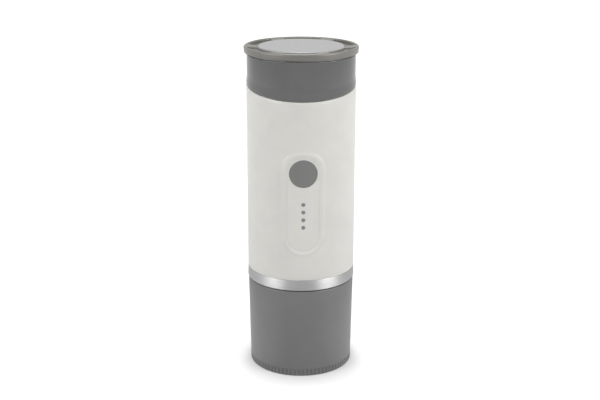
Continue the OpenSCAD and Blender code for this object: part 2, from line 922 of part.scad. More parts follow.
module charge_board() {
  color("DarkGreen")
    difference() {
      translate([-charge_board_w / 2, charge_board_y0, charge_board_z1 - board_t])
        cube([charge_board_w, charge_board_y1 - charge_board_y0, board_t]);
      at_posts() rod(small_screw_d / 2 + fit_gap, charge_board_z1 - board_t - over, charge_board_z1 + over);
    }
}

// Flat-sided oval of the charging socket, grown by a margin
module socket_outline(margin) {
  end_r = socket_h / 2 + margin;
  run = socket_w / 2 - socket_h / 2;
  translate([-run, 0]) circle(end_r);
  translate([run, 0]) circle(end_r);
  translate([-run, -end_r]) square([2 * run, 2 * end_r]);
}

module charge_socket() {
  back_t = 0.8;
  tongue_w = 6.6;
  tongue_t = 0.7;
  color("Silver")
    translate([0, socket_front, socket_z])
      rotate([90, 0, 0])
        union() {
          linear_extrude(socket_len)
            difference() {
              socket_outline(0);
              socket_outline(-socket_wall);
            }
          translate([0, 0, socket_len - back_t]) linear_extrude(back_t) socket_outline(0);
          translate([-tongue_w / 2, -tongue_t / 2, back_t]) cube([tongue_w, tongue_t, socket_len - back_t]);
        }
}

// Decks, standoffs and cells

// Tab that a main board screw bites into, up from z0
module deck_tab(z0) {
  front_prism(board_back - tab_t, board_back) translate([-tab_w / 2, z0]) square([tab_w, tab_h + over]);
}

module tab_holes() {
  at_main_board_screws()
    front_prism(board_back - tab_t - over, board_back + over) circle(small_screw_d / 2 + run_gap);
}

module lower_deck() {
  slot_w = hose_d + 2 * move_gap;
  color("LightSlateGray")
    difference() {
      union() {
        rod(deck_r, deck_z0, deck_z1);
        deck_tab(deck_z1 - over);
        at_posts() rod(post_r, charge_board_z1, deck_z0 + over);
      }
      rod(motor_boss_r + fit_gap, deck_z0 - over, deck_z1 + over);
      at_hose() rod(slot_w / 2, deck_z0 - over, deck_z1 + over);
      at_pump()
        translate([inlet_x, hose_y - slot_w / 2, deck_z0 - over])
          cube([hose_bend_r, slot_w, deck_t + 2 * over]);
      at_standoffs() rod(screw_d / 2 + fit_gap, deck_z0 - over, deck_z1 + over);
      at_pump_screws() rod(small_screw_d / 2 + run_gap, deck_z0 - over, deck_z1 + over);
      tab_holes();
      at_posts()
        rod(small_screw_d / 2 + run_gap, charge_board_z1 - over, charge_board_z1 + post_screw_bite + over);
    }
}

module upper_deck() {
  color("LightSlateGray")
    difference() {
      union() {
        rod(deck_r, upper_deck_z0, upper_deck_z1);
        deck_tab(upper_deck_z0 - tab_h);
      }
      at_hose() rod(hose_r + move_gap, upper_deck_z0 - over, upper_deck_z1 + over);
      at_standoffs() rod(screw_d / 2 + fit_gap, upper_deck_z0 - over, upper_deck_z1 + over);
      tab_holes();
    }
}

module lower_standoffs() {
  color("Silver")
    at_standoffs()
      difference() {
        rod(standoff_r, head_top_z, deck_z0);
        rod(screw_d / 2 + run_gap, head_top_z - over, deck_z0 + over);
      }
}

module upper_standoffs() {
  hole_h = deck_screw_bite + 2;
  color("Silver")
    at_standoffs()
      difference() {
        union() {
          rod(standoff_r, deck_z1, upper_deck_z0);
          rod(screw_d / 2, deck_z1 - stud_len, deck_z1);
        }
        rod(screw_d / 2 + run_gap, upper_deck_z0 - hole_h, upper_deck_z0 + over);
      }
}

module deck_screws() {
  color("Silver")
    at_standoffs()
      union() {
        rod(screw_head_d / 2, upper_deck_z1, upper_deck_z1 + screw_head_h);
        rod(screw_d / 2, upper_deck_z0 - deck_screw_bite, upper_deck_z1);
      }
}

module head_screws() {
  head_z = ceiling_z + screw_sink;
  shank = head_top_z + head_screw_bite - head_z - screw_head_h;
  color("Silver")
    at_standoffs() screw_up(head_z, screw_d, shank, screw_head_d, screw_head_h);
}

module battery_cell(k) {
  color("SteelBlue")
    rotate([0, 0, cell_angles[k]])
      translate([cell_ring_r, 0, 0])
        union() {
          rod(cell_r, cell_z0, cell_z0 + cell_len - cell_nub_h);
          rod(cell_nub_r, cell_z0, cell_z0 + cell_len);
        }
}

// Strips that join the cells in a row: one on top, one below and nearer the motor, clear of the board's tab
module cell_links() {
  link_w = 4.4;
  link_z = [upper_deck_z0 - link_t, deck_z1];
  link_r = [cell_ring_r - link_w + fit_gap, motor_r + motor_gap];
  color("LightGray")
    for (k = [0, 1])
      rotate([0, 0, cell_angles[k]])
        rotate_extrude(angle = cell_angles[k + 1] - cell_angles[k])
          translate([link_r[k], link_z[k]]) square([link_w, link_t]);
}

// Motor

module motor_can() {
  color("Silver")
    difference() {
      union() {
        rod(motor_r, deck_z1, motor_z1);
        rod(motor_boss_r, deck_z1 - motor_boss_h, deck_z1 + motor_floor_t);
      }
      rod(motor_r - motor_wall, deck_z1 + motor_floor_t, motor_z1 + over);
      rod(bush_r, deck_z1 - motor_boss_h - over, deck_z1 + motor_floor_t + over);
    }
}

module motor_bushes() {
  color("Peru")
    union() {
      tube(bush_r, shaft_r + run_gap, deck_z1 - motor_boss_h, deck_z1 + motor_floor_t);
      tube(bush_r, shaft_r + run_gap, motor_z1, motor_z1 + endcap_t);
    }
}

module motor_endcap() {
  lip_h_in = 1.5;
  terminal = [3, 0.6, 5];
  terminal_y = 0.66 * motor_r;
  color("DimGray")
    difference() {
      union() {
        rod(motor_r, motor_z1, motor_z1 + endcap_t);
        rod(motor_r - motor_wall - run_gap, motor_z1 - lip_h_in, motor_z1 + over);
        for (side = [-1, 1])
          translate([-terminal[0] / 2, side * terminal_y - terminal[1] / 2, motor_z1 + endcap_t - over])
            cube(terminal);
      }
      rod(bush_r, motor_z1 - lip_h_in - over, motor_z1 + endcap_t + over);
    }
}

module motor_magnets() {
  color("DarkSlateGray")
    for (start = [-magnet_angle / 2, 180 - magnet_angle / 2])
      rotate([0, 0, start])
        rotate_extrude(angle = magnet_angle)
          translate([motor_r - motor_wall - magnet_t, magnet_z0]) square([magnet_t, magnet_h]);
}

module motor_shaft() {
  color("Silver") rod(shaft_r, gasket_z0 - pin_depth + fit_gap, motor_z1 + endcap_t - move_gap);
}

// Slotted core with the commutator on top of it
module motor_armature() {
  core_z0 = magnet_z0 + over;
  core_z1 = magnet_z0 + magnet_h - over;
  commutator_r = shaft_r + 2.2;
  commutator_z1 = motor_z1 - 2.5;
  slot_w = 2;
  slot_depth = 0.49 * armature_r;
  color("Sienna")
    difference() {
      union() {
        rod(armature_r, core_z0, core_z1);
        rod(commutator_r, core_z1 - over, commutator_z1);
      }
      rod(shaft_r, core_z0 - over, motor_z1);
      for (a = [0, 120, 240])
        rotate([0, 0, a])
          translate([armature_r - slot_depth, -slot_w / 2, core_z0 - over])
            cube([slot_depth + over, slot_w, core_z1 - core_z0 + 2 * over]);
    }
}

// Pump

// Block outline round both gears, with round corners
module pump_outline() {
  x = pump_r - pump_corner_r;
  y1 = x;
  y0 = -gear_distance - x;
  translate([-pump_r, y0]) square([2 * pump_r, y1 - y0]);
  translate([-x, y0 - pump_corner_r]) square([2 * x, y1 - y0 + 2 * pump_corner_r]);
  for (cx = [-x, x]) for (cy = [y0, y1]) translate([cx, cy]) circle(pump_corner_r);
}

// Space that the two gears and their ports take up
module pump_space() {
  circle(cavity_r);
  translate([0, -gear_distance]) circle(cavity_r);
  translate([-cavity_r, -pitch_r - water_r]) square([2 * cavity_r, 2 * water_r]);
}

module pump_body() {
  color("DarkGray")
    difference() {
      at_pump()
        difference() {
          union() {
            translate([0, 0, pump_z0]) linear_extrude(deck_z0 - pump_z0) pump_outline();
            translate([pump_r - over, hose_y, inlet_z])
              rotate([0, 90, 0]) cylinder(r = hose_spigot_r, h = inlet_x - pump_r + over);
          }
          translate([0, 0, pump_z0 - over]) linear_extrude(cavity_top_z - pump_z0 + over) pump_space();
          translate([0, hose_y, inlet_z]) rotate([0, 90, 0]) cylinder(r = water_r, h = inlet_x + over);
          rod(shaft_r + 2 * fit_gap, cavity_top_z - over, deck_z0 + over);
          rod(seal_pocket_r, deck_z0 - seal_pocket_h, deck_z0 + over);
          translate([0, -gear_distance, 0]) rod(shaft_r, cavity_top_z - over, cavity_top_z + pin_top_h);
        }
      at_pump_screws() rod(small_screw_d / 2 + fit_gap, pump_z0 - over, deck_z0 + over);
    }
}

module pump_gasket() {
  color("Black")
    difference() {
      at_pump()
        translate([0, 0, gasket_z0])
          linear_extrude(pump_gasket_t)
            difference() {
              pump_outline();
              pump_space();
            }
      at_pump_screws() rod(small_screw_d / 2 + fit_gap, gasket_z0 - over, pump_z0 + over);
    }
}

module pump_cover() {
  color("DarkGray")
    difference() {
      union() {
        at_pump() translate([0, 0, cover_z0]) linear_extrude(pump_cover_t) pump_outline();
        at_valve() rod(nozzle_r, nozzle_z0, cover_z0 + over);
      }
      at_valve() rod(water_r, nozzle_z0 - over, gasket_z0 + over);
      rod(shaft_r + run_gap, gasket_z0 - pin_depth, gasket_z0 + over);
      at_idler() rod(shaft_r, gasket_z0 - pin_depth, gasket_z0 + over);
      at_pump_screws() rod(small_screw_d / 2 + fit_gap, cover_z0 - over, gasket_z0 + over);
    }
}

module pump_drive_gear() {
  color("Goldenrod") at_pump() gear(shaft_r);
}

module pump_idler_gear() {
  color("Goldenrod") at_idler() rotate([0, 0, 90 + 180 / gear_teeth]) gear(shaft_r + run_gap);
}

module idler_pin() {
  color("Silver") at_idler() rod(shaft_r, gasket_z0 - pin_depth, cavity_top_z + pin_top_h);
}

module shaft_seal() {
  color("Black") tube(seal_pocket_r, shaft_r + run_gap, deck_z0 - seal_pocket_h, deck_z0);
}

module pump_screws() {
  shank = deck_z0 - cover_z0 + pump_screw_bite;
  color("Silver")
    at_pump_screws() screw_up(cover_z0 - small_head_h, small_screw_d, shank, small_head_d, small_head_h);
}

// Brewing chamber

module brew_head() {
  recess_r = standoff_ring_r - standoff_r - move_gap;
  outline = [
    [0, ceiling_z], [skirt_r_in, ceiling_z], [skirt_r_in, skirt_z0], [skirt_r, skirt_z0],
    [skirt_r, cup_seal_z0], [cup_seal_root_r, cup_seal_z0],
    [cup_seal_root_r, cup_seal_z0 + cup_seal_h], [skirt_r, cup_seal_z0 + cup_seal_h],
    [skirt_r, ceiling_z], [head_r, ceiling_z], [head_r, head_flange_z0],
    [head_flange_r, head_flange_z0], [head_flange_r, head_top_z],
    [recess_r, head_top_z], [recess_r, ceiling_z + head_plate_t],
    [head_boss_r, ceiling_z + head_plate_t], [head_boss_r, head_top_z], [0, head_top_z]
  ];
  color("DimGray")
    difference() {
      rotate_extrude() polygon(outline);
      rod(plug_in_r + run_gap, ceiling_z - over, ceiling_z + plug_in_h);
      at_valve() rod(valve_bore_r, ceiling_z, head_top_z);
      at_valve() rod(nozzle_r + fit_gap, nozzle_z0, head_top_z + over);
      at_standoffs() rod(screw_d / 2 + fit_gap, ceiling_z - over, head_top_z + over);
      at_standoffs() rod(screw_head_d / 2 + fit_gap, ceiling_z - over, ceiling_z + screw_sink + screw_head_h);
    }
}

// Threaded spigot, welded into the head, with the piercing plate's seat and the check valve's lower half
module brew_spigot() {
  chamber_r = plate_r - 2;
  color("SlateGray")
    difference() {
      union() {
        rod(spigot_root_r, spigot_z0, ceiling_z);
        rod(plug_in_r, ceiling_z - over, ceiling_z + plug_in_h);
        thread_ridge(spigot_root_r, spigot_r, spigot_thread_z0, spigot_thread_turns);
      }
      rod(plate_r + run_gap, spigot_z0 - over, spigot_z0 + plate_t);
      rod(chamber_r, spigot_z0 - over, spigot_z0 + plate_t + chamber_h);
      at_valve() rod(valve_out_r, spigot_z0 - over, valve_seat_z + over);
      at_valve() rod(valve_bore_r, valve_seat_z, head_top_z);
    }
}

module valve_ball() {
  color("Silver") at_valve() translate([0, 0, valve_ball_z]) sphere(valve_ball_r);
}

function spring_point(i) =
  let (a = 360 * i / spring_steps, t = i / (spring_steps * spring_turns))
    [spring_r * cos(a), spring_r * sin(a), spring_z0 + t * (spring_z1 - spring_z0)];

// Least distance between the spring's turns, measured on its own points
spring_gap = min([
  for (i = [0 : spring_steps * spring_turns]) for (j = [i + spring_steps / 2 : spring_steps * spring_turns])
    norm(spring_point(i) - spring_point(j))
]) - 2 * spring_wire_r;
echo(spring_gap = spring_gap);

module valve_spring() {
  color("Silver")
    at_valve()
      swept([
        for (i = [0 : spring_steps * spring_turns])
          let (p = spring_point(i), a = 360 * i / spring_steps)
            [for (j = [0 : spring_sides - 1])
              let (b = 360 * j / spring_sides)
                p + spring_wire_r * [cos(b) * cos(a), cos(b) * sin(a), sin(b)]]
      ]);
}

module pierce_plate() {
  hole_count = 12;
  hole_r = 0.6;
  hole_ring_r = spike_ring_r + 3.4;
  color("Silver")
    difference() {
      union() {
        rod(plate_r, spigot_z0, spigot_z0 + plate_t);
        at_spikes()
          translate([0, 0, spigot_z0 - spike_h])
            cylinder(r1 = spike_tip_r, r2 = spike_r, h = spike_h + plate_t / 2);
      }
      for (k = [0 : hole_count - 1])
        rotate([0, 0, (k + 0.5) * 360 / hole_count])
          translate([hole_ring_r, 0, 0]) rod(hole_r, spigot_z0 - over, spigot_z0 + plate_t + over);
    }
}

module head_seal() {
  color("DarkSlateGray")
    tube(cradle_flange_r, cradle_flange_r - head_seal_w, spigot_z0 - head_seal_t, spigot_z0);
}

module capsule_cradle() {
  foot_r = capsule_foot_d / 2;
  mouth_r = capsule_d / 2;
  outline = [
    [0, cradle_floor_z - cradle_floor_t], [foot_r + cradle_wall, cradle_floor_z - cradle_floor_t],
    [mouth_r + cradle_wall, cradle_flange_z0], [cradle_flange_r, cradle_flange_z0],
    [cradle_flange_r, cradle_top_z], [capsule_rim_d / 2, cradle_top_z],
    [capsule_rim_d / 2, cradle_top_z - capsule_rim_t], [mouth_r, cradle_top_z - capsule_rim_t],
    [foot_r, cradle_floor_z], [0, cradle_floor_z]
  ];
  hole_count = 6;
  hole_r = 1;
  color("Silver")
    difference() {
      union() {
        rotate_extrude() polygon(outline);
        at_spikes()
          translate([0, 0, cradle_floor_z - cradle_floor_t / 2])
            cylinder(r1 = spike_r, r2 = spike_tip_r, h = foot_spike_h + cradle_floor_t / 2);
      }
      for (k = [0 : hole_count - 1])
        rotate([0, 0, (k + 0.5) * 360 / hole_count])
          translate([spike_ring_r / 2, 0, 0])
            rod(hole_r, cradle_floor_z - cradle_floor_t - over, cradle_floor_z + over);
    }
}

module capsule_holder() {
  outline = [
    [0, holder_floor_z - holder_wall], [holder_r, holder_floor_z - holder_wall],
    [holder_r, holder_shoulder_z - holder_shoulder_t - holder_flare_h],
    [holder_collar_r, holder_shoulder_z - holder_shoulder_t], [holder_collar_r, holder_top_z],
    [holder_bore_r, holder_top_z], [holder_bore_r, holder_shoulder_z],
    [holder_cavity_r, holder_shoulder_z], [holder_cavity_r, holder_floor_z], [0, holder_floor_z]
  ];
  grip_z0 = holder_shoulder_z - holder_shoulder_t;
  color("SlateGray")
    difference() {
      union() {
        rotate_extrude() polygon(outline);
        for (k = [0 : grip_count - 1])
          rotate([0, 0, k * 360 / grip_count])
            translate([holder_collar_r, 0, 0]) rod(grip_r, grip_z0, holder_top_z - over);
        thread_ridge(holder_bore_r, holder_bore_r - thread_h, holder_thread_z0, holder_thread_turns);
      }
      for (side = [-1, 1])
        translate([side * spout_x, 0, 0])
          rod(spout_r, holder_floor_z - holder_wall - over, holder_floor_z + over);
    }
}

// Ring and cup

module trim_ring() {
  outline = concat(
    [[head_r + fit_gap, ring_z0]],
    arc_points([body_r + ring_flare - ring_round, ring_z0 + ring_round], ring_round, -90, 0),
    arc_points([body_r - ring_round, shell_z0 - ring_round], ring_round, 0, 90),
    [[head_r + fit_gap, shell_z0]]
  );
  color("LightSteelBlue") rotate_extrude() polygon(outline);
}

module cup_seal() {
  outer_r = cup_r_in - fit_gap;
  ring_r = (outer_r - cup_seal_root_r) / 2;
  color("Black")
    rotate_extrude() translate([cup_seal_root_r + ring_r, cup_seal_z0 + cup_seal_h / 2]) circle(ring_r);
}

module coffee_cup() {
  low_r = cup_r_in - cup_step;
  floor_r = cup_base_r - cup_wall - cup_step;
  foot_r = cup_base_r - cup_foot_w;
  outline = concat(
    [[0, cup_foot_h], [foot_r - cup_foot_h, cup_foot_h], [foot_r, 0]],
    arc_points([cup_base_r - cup_round, cup_round], cup_round, -90, 0),
    arc_points([cup_top_r - cup_round, cup_h - cup_round], cup_round, 0, 90),
    [
      [cup_r_in, cup_h], [cup_r_in, skirt_z0], [low_r, skirt_z0],
      [floor_r, cup_floor_t + cup_round], [floor_r - cup_round, cup_floor_t], [0, cup_floor_t]
    ]
  );
  color("Gray")
    difference() {
      rotate_extrude() polygon(outline);
      for (k = [0 : flute_count - 1])
        rotate([0, 0, k * 360 / flute_count])
          translate([cup_base_r + flute_r - flute_depth, 0, 0]) rod(flute_r, -over, flute_h);
    }
}

lid_cap();
lid_plug();
lid_gasket();
upper_collar();
water_tank();
tank_outlet();
outlet_nut();
outlet_seal();
heater_plate();
thermistor();
thermal_fuse();
inlet_hose();
body_shell();
control_panel();
power_button();
switch_plunger();
tact_switch();
light_guide();
status_leds();
main_board();
board_parts();
board_screws();
upper_deck();
lower_deck();
lower_standoffs();
upper_standoffs();
deck_screws();
head_screws();
battery_cell(0);  // battery_cell_1
battery_cell(1);  // battery_cell_2
battery_cell(2);  // battery_cell_3
cell_links();
motor_can();
motor_magnets();
motor_endcap();
motor_bushes();
motor_shaft();
motor_armature();
pump_drive_gear();
pump_idler_gear();
idler_pin();
shaft_seal();
pump_body();
pump_gasket();
pump_cover();
pump_screws();
charge_board();
charge_socket();
brew_head();
brew_spigot();
valve_ball();
valve_spring();
pierce_plate();
head_seal();
capsule_cradle();
capsule_holder();
trim_ring();
cup_seal();
coffee_cup();
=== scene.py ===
"""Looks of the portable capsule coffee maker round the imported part: skins, finishes, light and camera.

Sizes are in millimetres, as in the part's source, and become metres when a mesh is made.
Angles run round the body's axis from the front: 0 is the button's side, a quarter turn is +X.
"""

import json
import math

import bpy
import numpy as np
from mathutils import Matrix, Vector
from mathutils.geometry import delaunay_2d_cdt


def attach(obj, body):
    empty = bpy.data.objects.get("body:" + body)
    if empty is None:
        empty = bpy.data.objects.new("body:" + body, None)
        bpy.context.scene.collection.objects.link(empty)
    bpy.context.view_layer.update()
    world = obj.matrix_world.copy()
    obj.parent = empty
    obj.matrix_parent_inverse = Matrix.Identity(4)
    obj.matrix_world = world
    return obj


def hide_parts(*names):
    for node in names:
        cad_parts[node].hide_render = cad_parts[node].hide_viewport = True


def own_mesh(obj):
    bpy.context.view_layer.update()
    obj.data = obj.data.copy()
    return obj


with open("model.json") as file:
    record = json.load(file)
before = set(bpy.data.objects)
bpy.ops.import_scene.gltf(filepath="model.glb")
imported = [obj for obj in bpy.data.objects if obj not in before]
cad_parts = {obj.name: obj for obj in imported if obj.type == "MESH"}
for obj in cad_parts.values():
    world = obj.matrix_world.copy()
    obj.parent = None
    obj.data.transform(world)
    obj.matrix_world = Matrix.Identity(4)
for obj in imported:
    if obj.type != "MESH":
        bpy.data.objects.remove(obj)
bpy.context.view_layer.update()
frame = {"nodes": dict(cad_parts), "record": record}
scene = bpy.context.scene
finishes = {}
MM = 0.001
TAU = 2 * math.pi

# Sizes repeated from the part's source
BODY_R = 36.0
SHELL_Z0, SHELL_FOOT_R, SHELL_HEAD_R = 69.6, 33.2, 34.0
SEAM_Z, SEAM_SLOPE, SEAM_GAP = 188.6, math.tan(math.radians(9.5)), 0.2
COLLAR_R, COLLAR_TOP, SPIGOT_R, SPIGOT_Z0, BORE_R = 35.6, 214.0, 33.7, 180.6, 32.3
TANK_SEAT_R, TANK_SEAT_Z = 34.1, 212.9
LIP_R, LIP_Z0, LIP_LEAN, LID_TOP, LID_UNDER_R = 37.6, 214.9, 0.4, 219.3, 33.0
DISC_R, CHANNEL_R = 28.25, 35.5
RING_Z0, RING_R_IN, RING_FLARE = 62.4, 33.0, 0.25
CUP_H, CUP_TOP_R, CUP_BASE_R, CUP_FLOOR = 61.6, 35.8, 34.75, 2.6
PANEL_Z0, BUTTON_Z, PANEL_FRONT = 100.6, 142.2, 35.7
LIGHT_COUNT, LIGHT_DROP, LIGHT_PITCH = 4, 20.6, 5.15
SOCKET_Z, SOCKET_RUN = 83.65, 2.85
VALVE_X, VALVE_Y, VALVE_TRAVEL = 0.9125, -7.9535, 1.0
SPRING_R, WIRE_R, SPRING_TURNS, SPRING_LOW, SPRING_HIGH = 1.947, 0.25, 8, 54.0335, 66.0572

LIGHTS_Z = [BUTTON_Z - LIGHT_DROP - k * LIGHT_PITCH for k in range(LIGHT_COUNT)]


def smoothstep(low, high, value):
    t = np.clip((value - low) / (high - low), 0.0, 1.0)
    return t * t * (3 - 2 * t)


# Meshes

WELD = 1e-5


def make_piece(name, points, faces, body, slot, stands_for, crease=35):
    """Object from points in millimetres, shaded smooth up to the crease angle, riding on a body."""
    mesh = bpy.data.meshes.new(name)
    mesh.from_pydata([tuple(c * MM for c in p) for p in points], [], faces)
    mesh.validate()
    for polygon in mesh.polygons:
        polygon.use_smooth = True
    mesh.set_sharp_from_angle(angle=math.radians(crease))
    piece = bpy.data.objects.new(name, mesh)
    scene.collection.objects.link(piece)
    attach(piece, body)
    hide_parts(*stands_for)
    mesh.materials.append(finishes[slot])
    return piece


def fillet(corners, steps=5):
    """Outline through (x, y, radius) corners, each rounded to its radius."""
    outline = []
    for i, (x, y, radius) in enumerate(corners):
        if radius == 0:
            outline.append((x, y))
            continue
        here = Vector((x, y))
        back = Vector(corners[i - 1][:2]) - here
        ahead = Vector(corners[(i + 1) % len(corners)][:2]) - here
        half = back.angle(ahead) / 2
        reach = radius / math.tan(half)
        start, end = here + back.normalized() * reach, here + ahead.normalized() * reach
        middle = here + (back.normalized() + ahead.normalized()).normalized() * radius / math.sin(half)
        for k in range(steps + 1):
            spoke = (start - middle).lerp(end - middle, k / steps)
            outline.append(tuple(middle + spoke.normalized() * radius))
    return outline


def turned(profile_at, columns):
    """Points and faces turned about the axis; profile_at(angle) gives the closed (r, z) outline."""
    rings = [profile_at(TAU * c / columns) for c in range(columns)]
    rows = len(rings[0])
    points, faces, index = [], [], {}

    def corner(c, k):
        r, z = rings[c % columns][k % rows]
        angle = TAU * (c % columns) / columns
        key = (c % columns, k % rows) if r > 0 else ("axis", round(z, 4))
        if key not in index:
            index[key] = len(points)
            points.append((r * math.sin(angle), -r * math.cos(angle), z))
        return index[key]

    for c in range(columns):
        for k in range(rows):
            quad = [corner(c, k), corner(c + 1, k), corner(c + 1, k + 1), corner(c, k + 1)]
            face = list(dict.fromkeys(quad))
            if len(face) > 2:
                faces.append(face)
    return points, faces


def oval(offset, ends, count):
    """Points of the round-ended outline at a distance from the line between two ends in the plane."""
    a, b = np.array(ends[0], float), np.array(ends[1], float)
    run = np.linalg.norm(b - a)
    along = (b - a) / run if run > 0 else np.array([0.0, 1.0])
    across = np.array([along[1], -along[0]])
    length = 2 * run + TAU * offset
    ring = []
    for k in range(count):
        s = length * k / count
        if s < run:
            ring.append(a + along * s + across * offset)
        elif s < run + math.pi * offset:
            t = (s - run) / offset
            ring.append(b + offset * (across * math.cos(t) + along * math.sin(t)))
        elif s < 2 * run + math.pi * offset:
            ring.append(b - along * (s - run - math.pi * offset) - across * offset)
        else:
            t = (s - 2 * run - math.pi * offset) / offset
            ring.append(a - offset * (across * math.cos(t) + along * math.sin(t)))
    return ring


def from_line(x, z, ends):
    """Distance of a point in the plane from the line between two ends."""
    p, a, b = np.array((x, z)), np.array(ends[0], float), np.array(ends[1], float)
    run = b - a
    t = np.clip(np.dot(p - a, run) / np.dot(run, run), 0, 1)
    return float(np.linalg.norm(p - a - t * run))


def triangulated(plane_points, loops, is_hole, place):
    """Points and faces over plane points, with edges along the loops and no faces where is_hole says so."""
    edges = []
    coords = [Vector(p) for p in plane_points]
    for loop in loops:
        first = len(coords)
        coords += [Vector(p) for p in loop]
        edges += [(first + k, first + (k + 1) % len(loop)) for k in range(len(loop))]
    found, _, triangles, *_ = delaunay_2d_cdt(coords, edges, [], 0, WELD)
    faces = []
    for t in triangles:
        centre = sum((found[i] for i in t), Vector((0, 0))) / len(t)
        if not is_hole(*centre):
            faces.append(list(t))
    return [place(*p) for p in found], faces


# Finishes

# How a noise is drawn out along the axes: lines round the axis, lines along it, or no lines
ROUND_AXIS, UP_AXIS, ALL_WAYS = (60, 60, 1), (1, 1, 60), (1, 1, 1)
# Middle range of a noise, which is spread over what it drives
NOISE_LOW, NOISE_HIGH = 0.3, 0.7


def linear(*levels):
    """Linear colour from 8-bit screen levels."""
    shares = [level / 255 for level in levels]
    return tuple(s / 12.92 if s <= 0.04045 else ((s + 0.055) / 1.055) ** 2.4 for s in shares) + (1.0,)


def shade(colour, factor):
    return tuple(c * factor for c in colour[:3]) + (1.0,)


def ramp(tree, source, low, high, first, last):
    """Soft step from first to last while the source goes from low to high."""
    step = tree.nodes.new("ShaderNodeMapRange")
    step.interpolation_type = "SMOOTHSTEP"
    tree.links.new(source, step.inputs["Value"])
    for socket, value in zip(("From Min", "From Max", "To Min", "To Max"), (low, high, first, last)):
        step.inputs[socket].default_value = value
    return step.outputs["Result"]


def calculated(tree, operation, first, second):
    """Output of a math node on two sockets or numbers."""
    made = tree.nodes.new("ShaderNodeMath")
    made.operation = operation
    for socket, value in zip(made.inputs, (first, second)):
        if isinstance(value, (int, float)):
            socket.default_value = value
        else:
            tree.links.new(value, socket)
    return made.outputs[0]


class Finish:
    """A material, kept by its name, whose colour, roughness and bump come from noise in the object's space."""

    def __init__(self, name, **sockets):
        material = bpy.data.materials.new(name)
        material.use_nodes = True
        finishes[name] = material
        self.tree = material.node_tree
        self.shader = self.tree.nodes["Principled BSDF"]
        for socket, value in sockets.items():
            self.shader.inputs[socket.replace("_", " ")].default_value = value
        self.space = self.tree.nodes.new("ShaderNodeTexCoord").outputs["Object"]

    def node(self, kind, links=None, **settings):
        made = self.tree.nodes.new(kind)
        for key, value in settings.items():
            if hasattr(made, key):
                setattr(made, key, value)
            else:
                made.inputs[key.replace("_", " ")].default_value = value
        for socket, source in (links or {}).items():
            self.tree.links.new(source, made.inputs[socket])
        return made

    def noise(self, size, detail=2.0, stretch=ALL_WAYS):
        """Noise whose features are about the given size in millimetres, longer along a stretched axis."""
        spread = self.node("ShaderNodeVectorMath", {0: self.space}, operation="MULTIPLY")
        spread.inputs[1].default_value = tuple(1 / (s * size * MM) for s in stretch)
        source = {"Vector": spread.outputs[0]}
        return self.node("ShaderNodeTexNoise", source, Scale=1.0, Detail=detail).outputs["Fac"]

    def vary(self, source, low, high):
        """The noise's middle range spread from low to high."""
        spread = {"From_Min": NOISE_LOW, "From_Max": NOISE_HIGH, "To_Min": low, "To_Max": high}
        return self.node("ShaderNodeMapRange", {"Value": source}, **spread).outputs["Result"]

    def tint(self, source, first, second):
        """Base colour that goes from first to second with the noise."""
        mix = self.node("ShaderNodeMix", {0: self.vary(source, 0.0, 1.0)}, data_type="RGBA")
        mix.inputs[6].default_value, mix.inputs[7].default_value = first, second
        self.tree.links.new(mix.outputs[2], self.shader.inputs["Base Color"])

    def roughness(self, source, low, high):
        self.tree.links.new(self.vary(source, low, high), self.shader.inputs["Roughness"])

    def bump(self, source, depth):
        """Relief of the given depth in millimetres."""
        relief = self.node("ShaderNodeBump", {"Height": source}, Strength=1.0, Distance=depth * MM)
        self.tree.links.new(relief.outputs["Normal"], self.shader.inputs["Normal"])


CLOUD_SIZE, CLOUD_SHARE = 14, 0.025
GLOSS_SIZE, GLOSS_RANGE = 5, 0.03
TONE_EDGE = 0.2
LINE_DARK, LINE_LIGHT, LINE_RANGE = 0.94, 1.04, 0.06
TRACK_SCALE, TRACK_DEPTH = 420.0, 0.02


def moulded(name, colour, rough, grain=0.35, depth=0.012, **sockets):
    """Moulded plastic or rubber: faint cloudiness, a fine grain and slightly uneven gloss."""
    made = Finish(name, **sockets)
    made.tint(made.noise(CLOUD_SIZE, 3.0), shade(colour, 1 - CLOUD_SHARE), shade(colour, 1 + CLOUD_SHARE))
    made.roughness(made.noise(GLOSS_SIZE, 4.0), rough - GLOSS_RANGE, rough + GLOSS_RANGE)
    made.bump(made.noise(grain), depth)
    return made


def painted_light_disc(name, outer, inner, radius, rough, depth, **sockets):
    """Moulded plastic with a lighter tone painted inside a radius round the axis, as painted top light on the
    same plastic.
    """
    made = moulded(name, outer, rough, depth=depth, **sockets)
    level = made.node("ShaderNodeVectorMath", {0: made.space}, operation="MULTIPLY")
    level.inputs[1].default_value = (1, 1, 0)
    away = made.node("ShaderNodeVectorMath", {0: level.outputs[0]}, operation="LENGTH").outputs["Value"]
    outside = ramp(made.tree, away, (radius - TONE_EDGE) * MM, (radius + TONE_EDGE) * MM, 0.0, 1.0)
    mix = made.node("ShaderNodeMix", {0: outside}, data_type="RGBA")
    mix.inputs[6].default_value = inner
    colour = made.shader.inputs["Base Color"]
    made.tree.links.new(colour.links[0].from_socket, mix.inputs[7])
    made.tree.links.new(mix.outputs[2], colour)


def worked_metal(name, colour, rough, stretch, line=0.16, depth=0.004, **sockets):
    """Metal with lines along its stretched axes, as turning or brushing leaves them."""
    made = Finish(name, Metallic=1.0, **sockets)
    if stretch == ROUND_AXIS:
        around = made.node("ShaderNodeTangent", direction_type="RADIAL", axis="Z")
        made.tree.links.new(around.outputs["Tangent"], made.shader.inputs["Tangent"])
    lines = made.noise(line, 3.0, stretch)
    made.tint(made.noise(line * 3, 2.0, stretch), shade(colour, LINE_DARK), shade(colour, LINE_LIGHT))
    made.roughness(lines, rough - LINE_RANGE, rough + LINE_RANGE)
    made.bump(lines, depth)


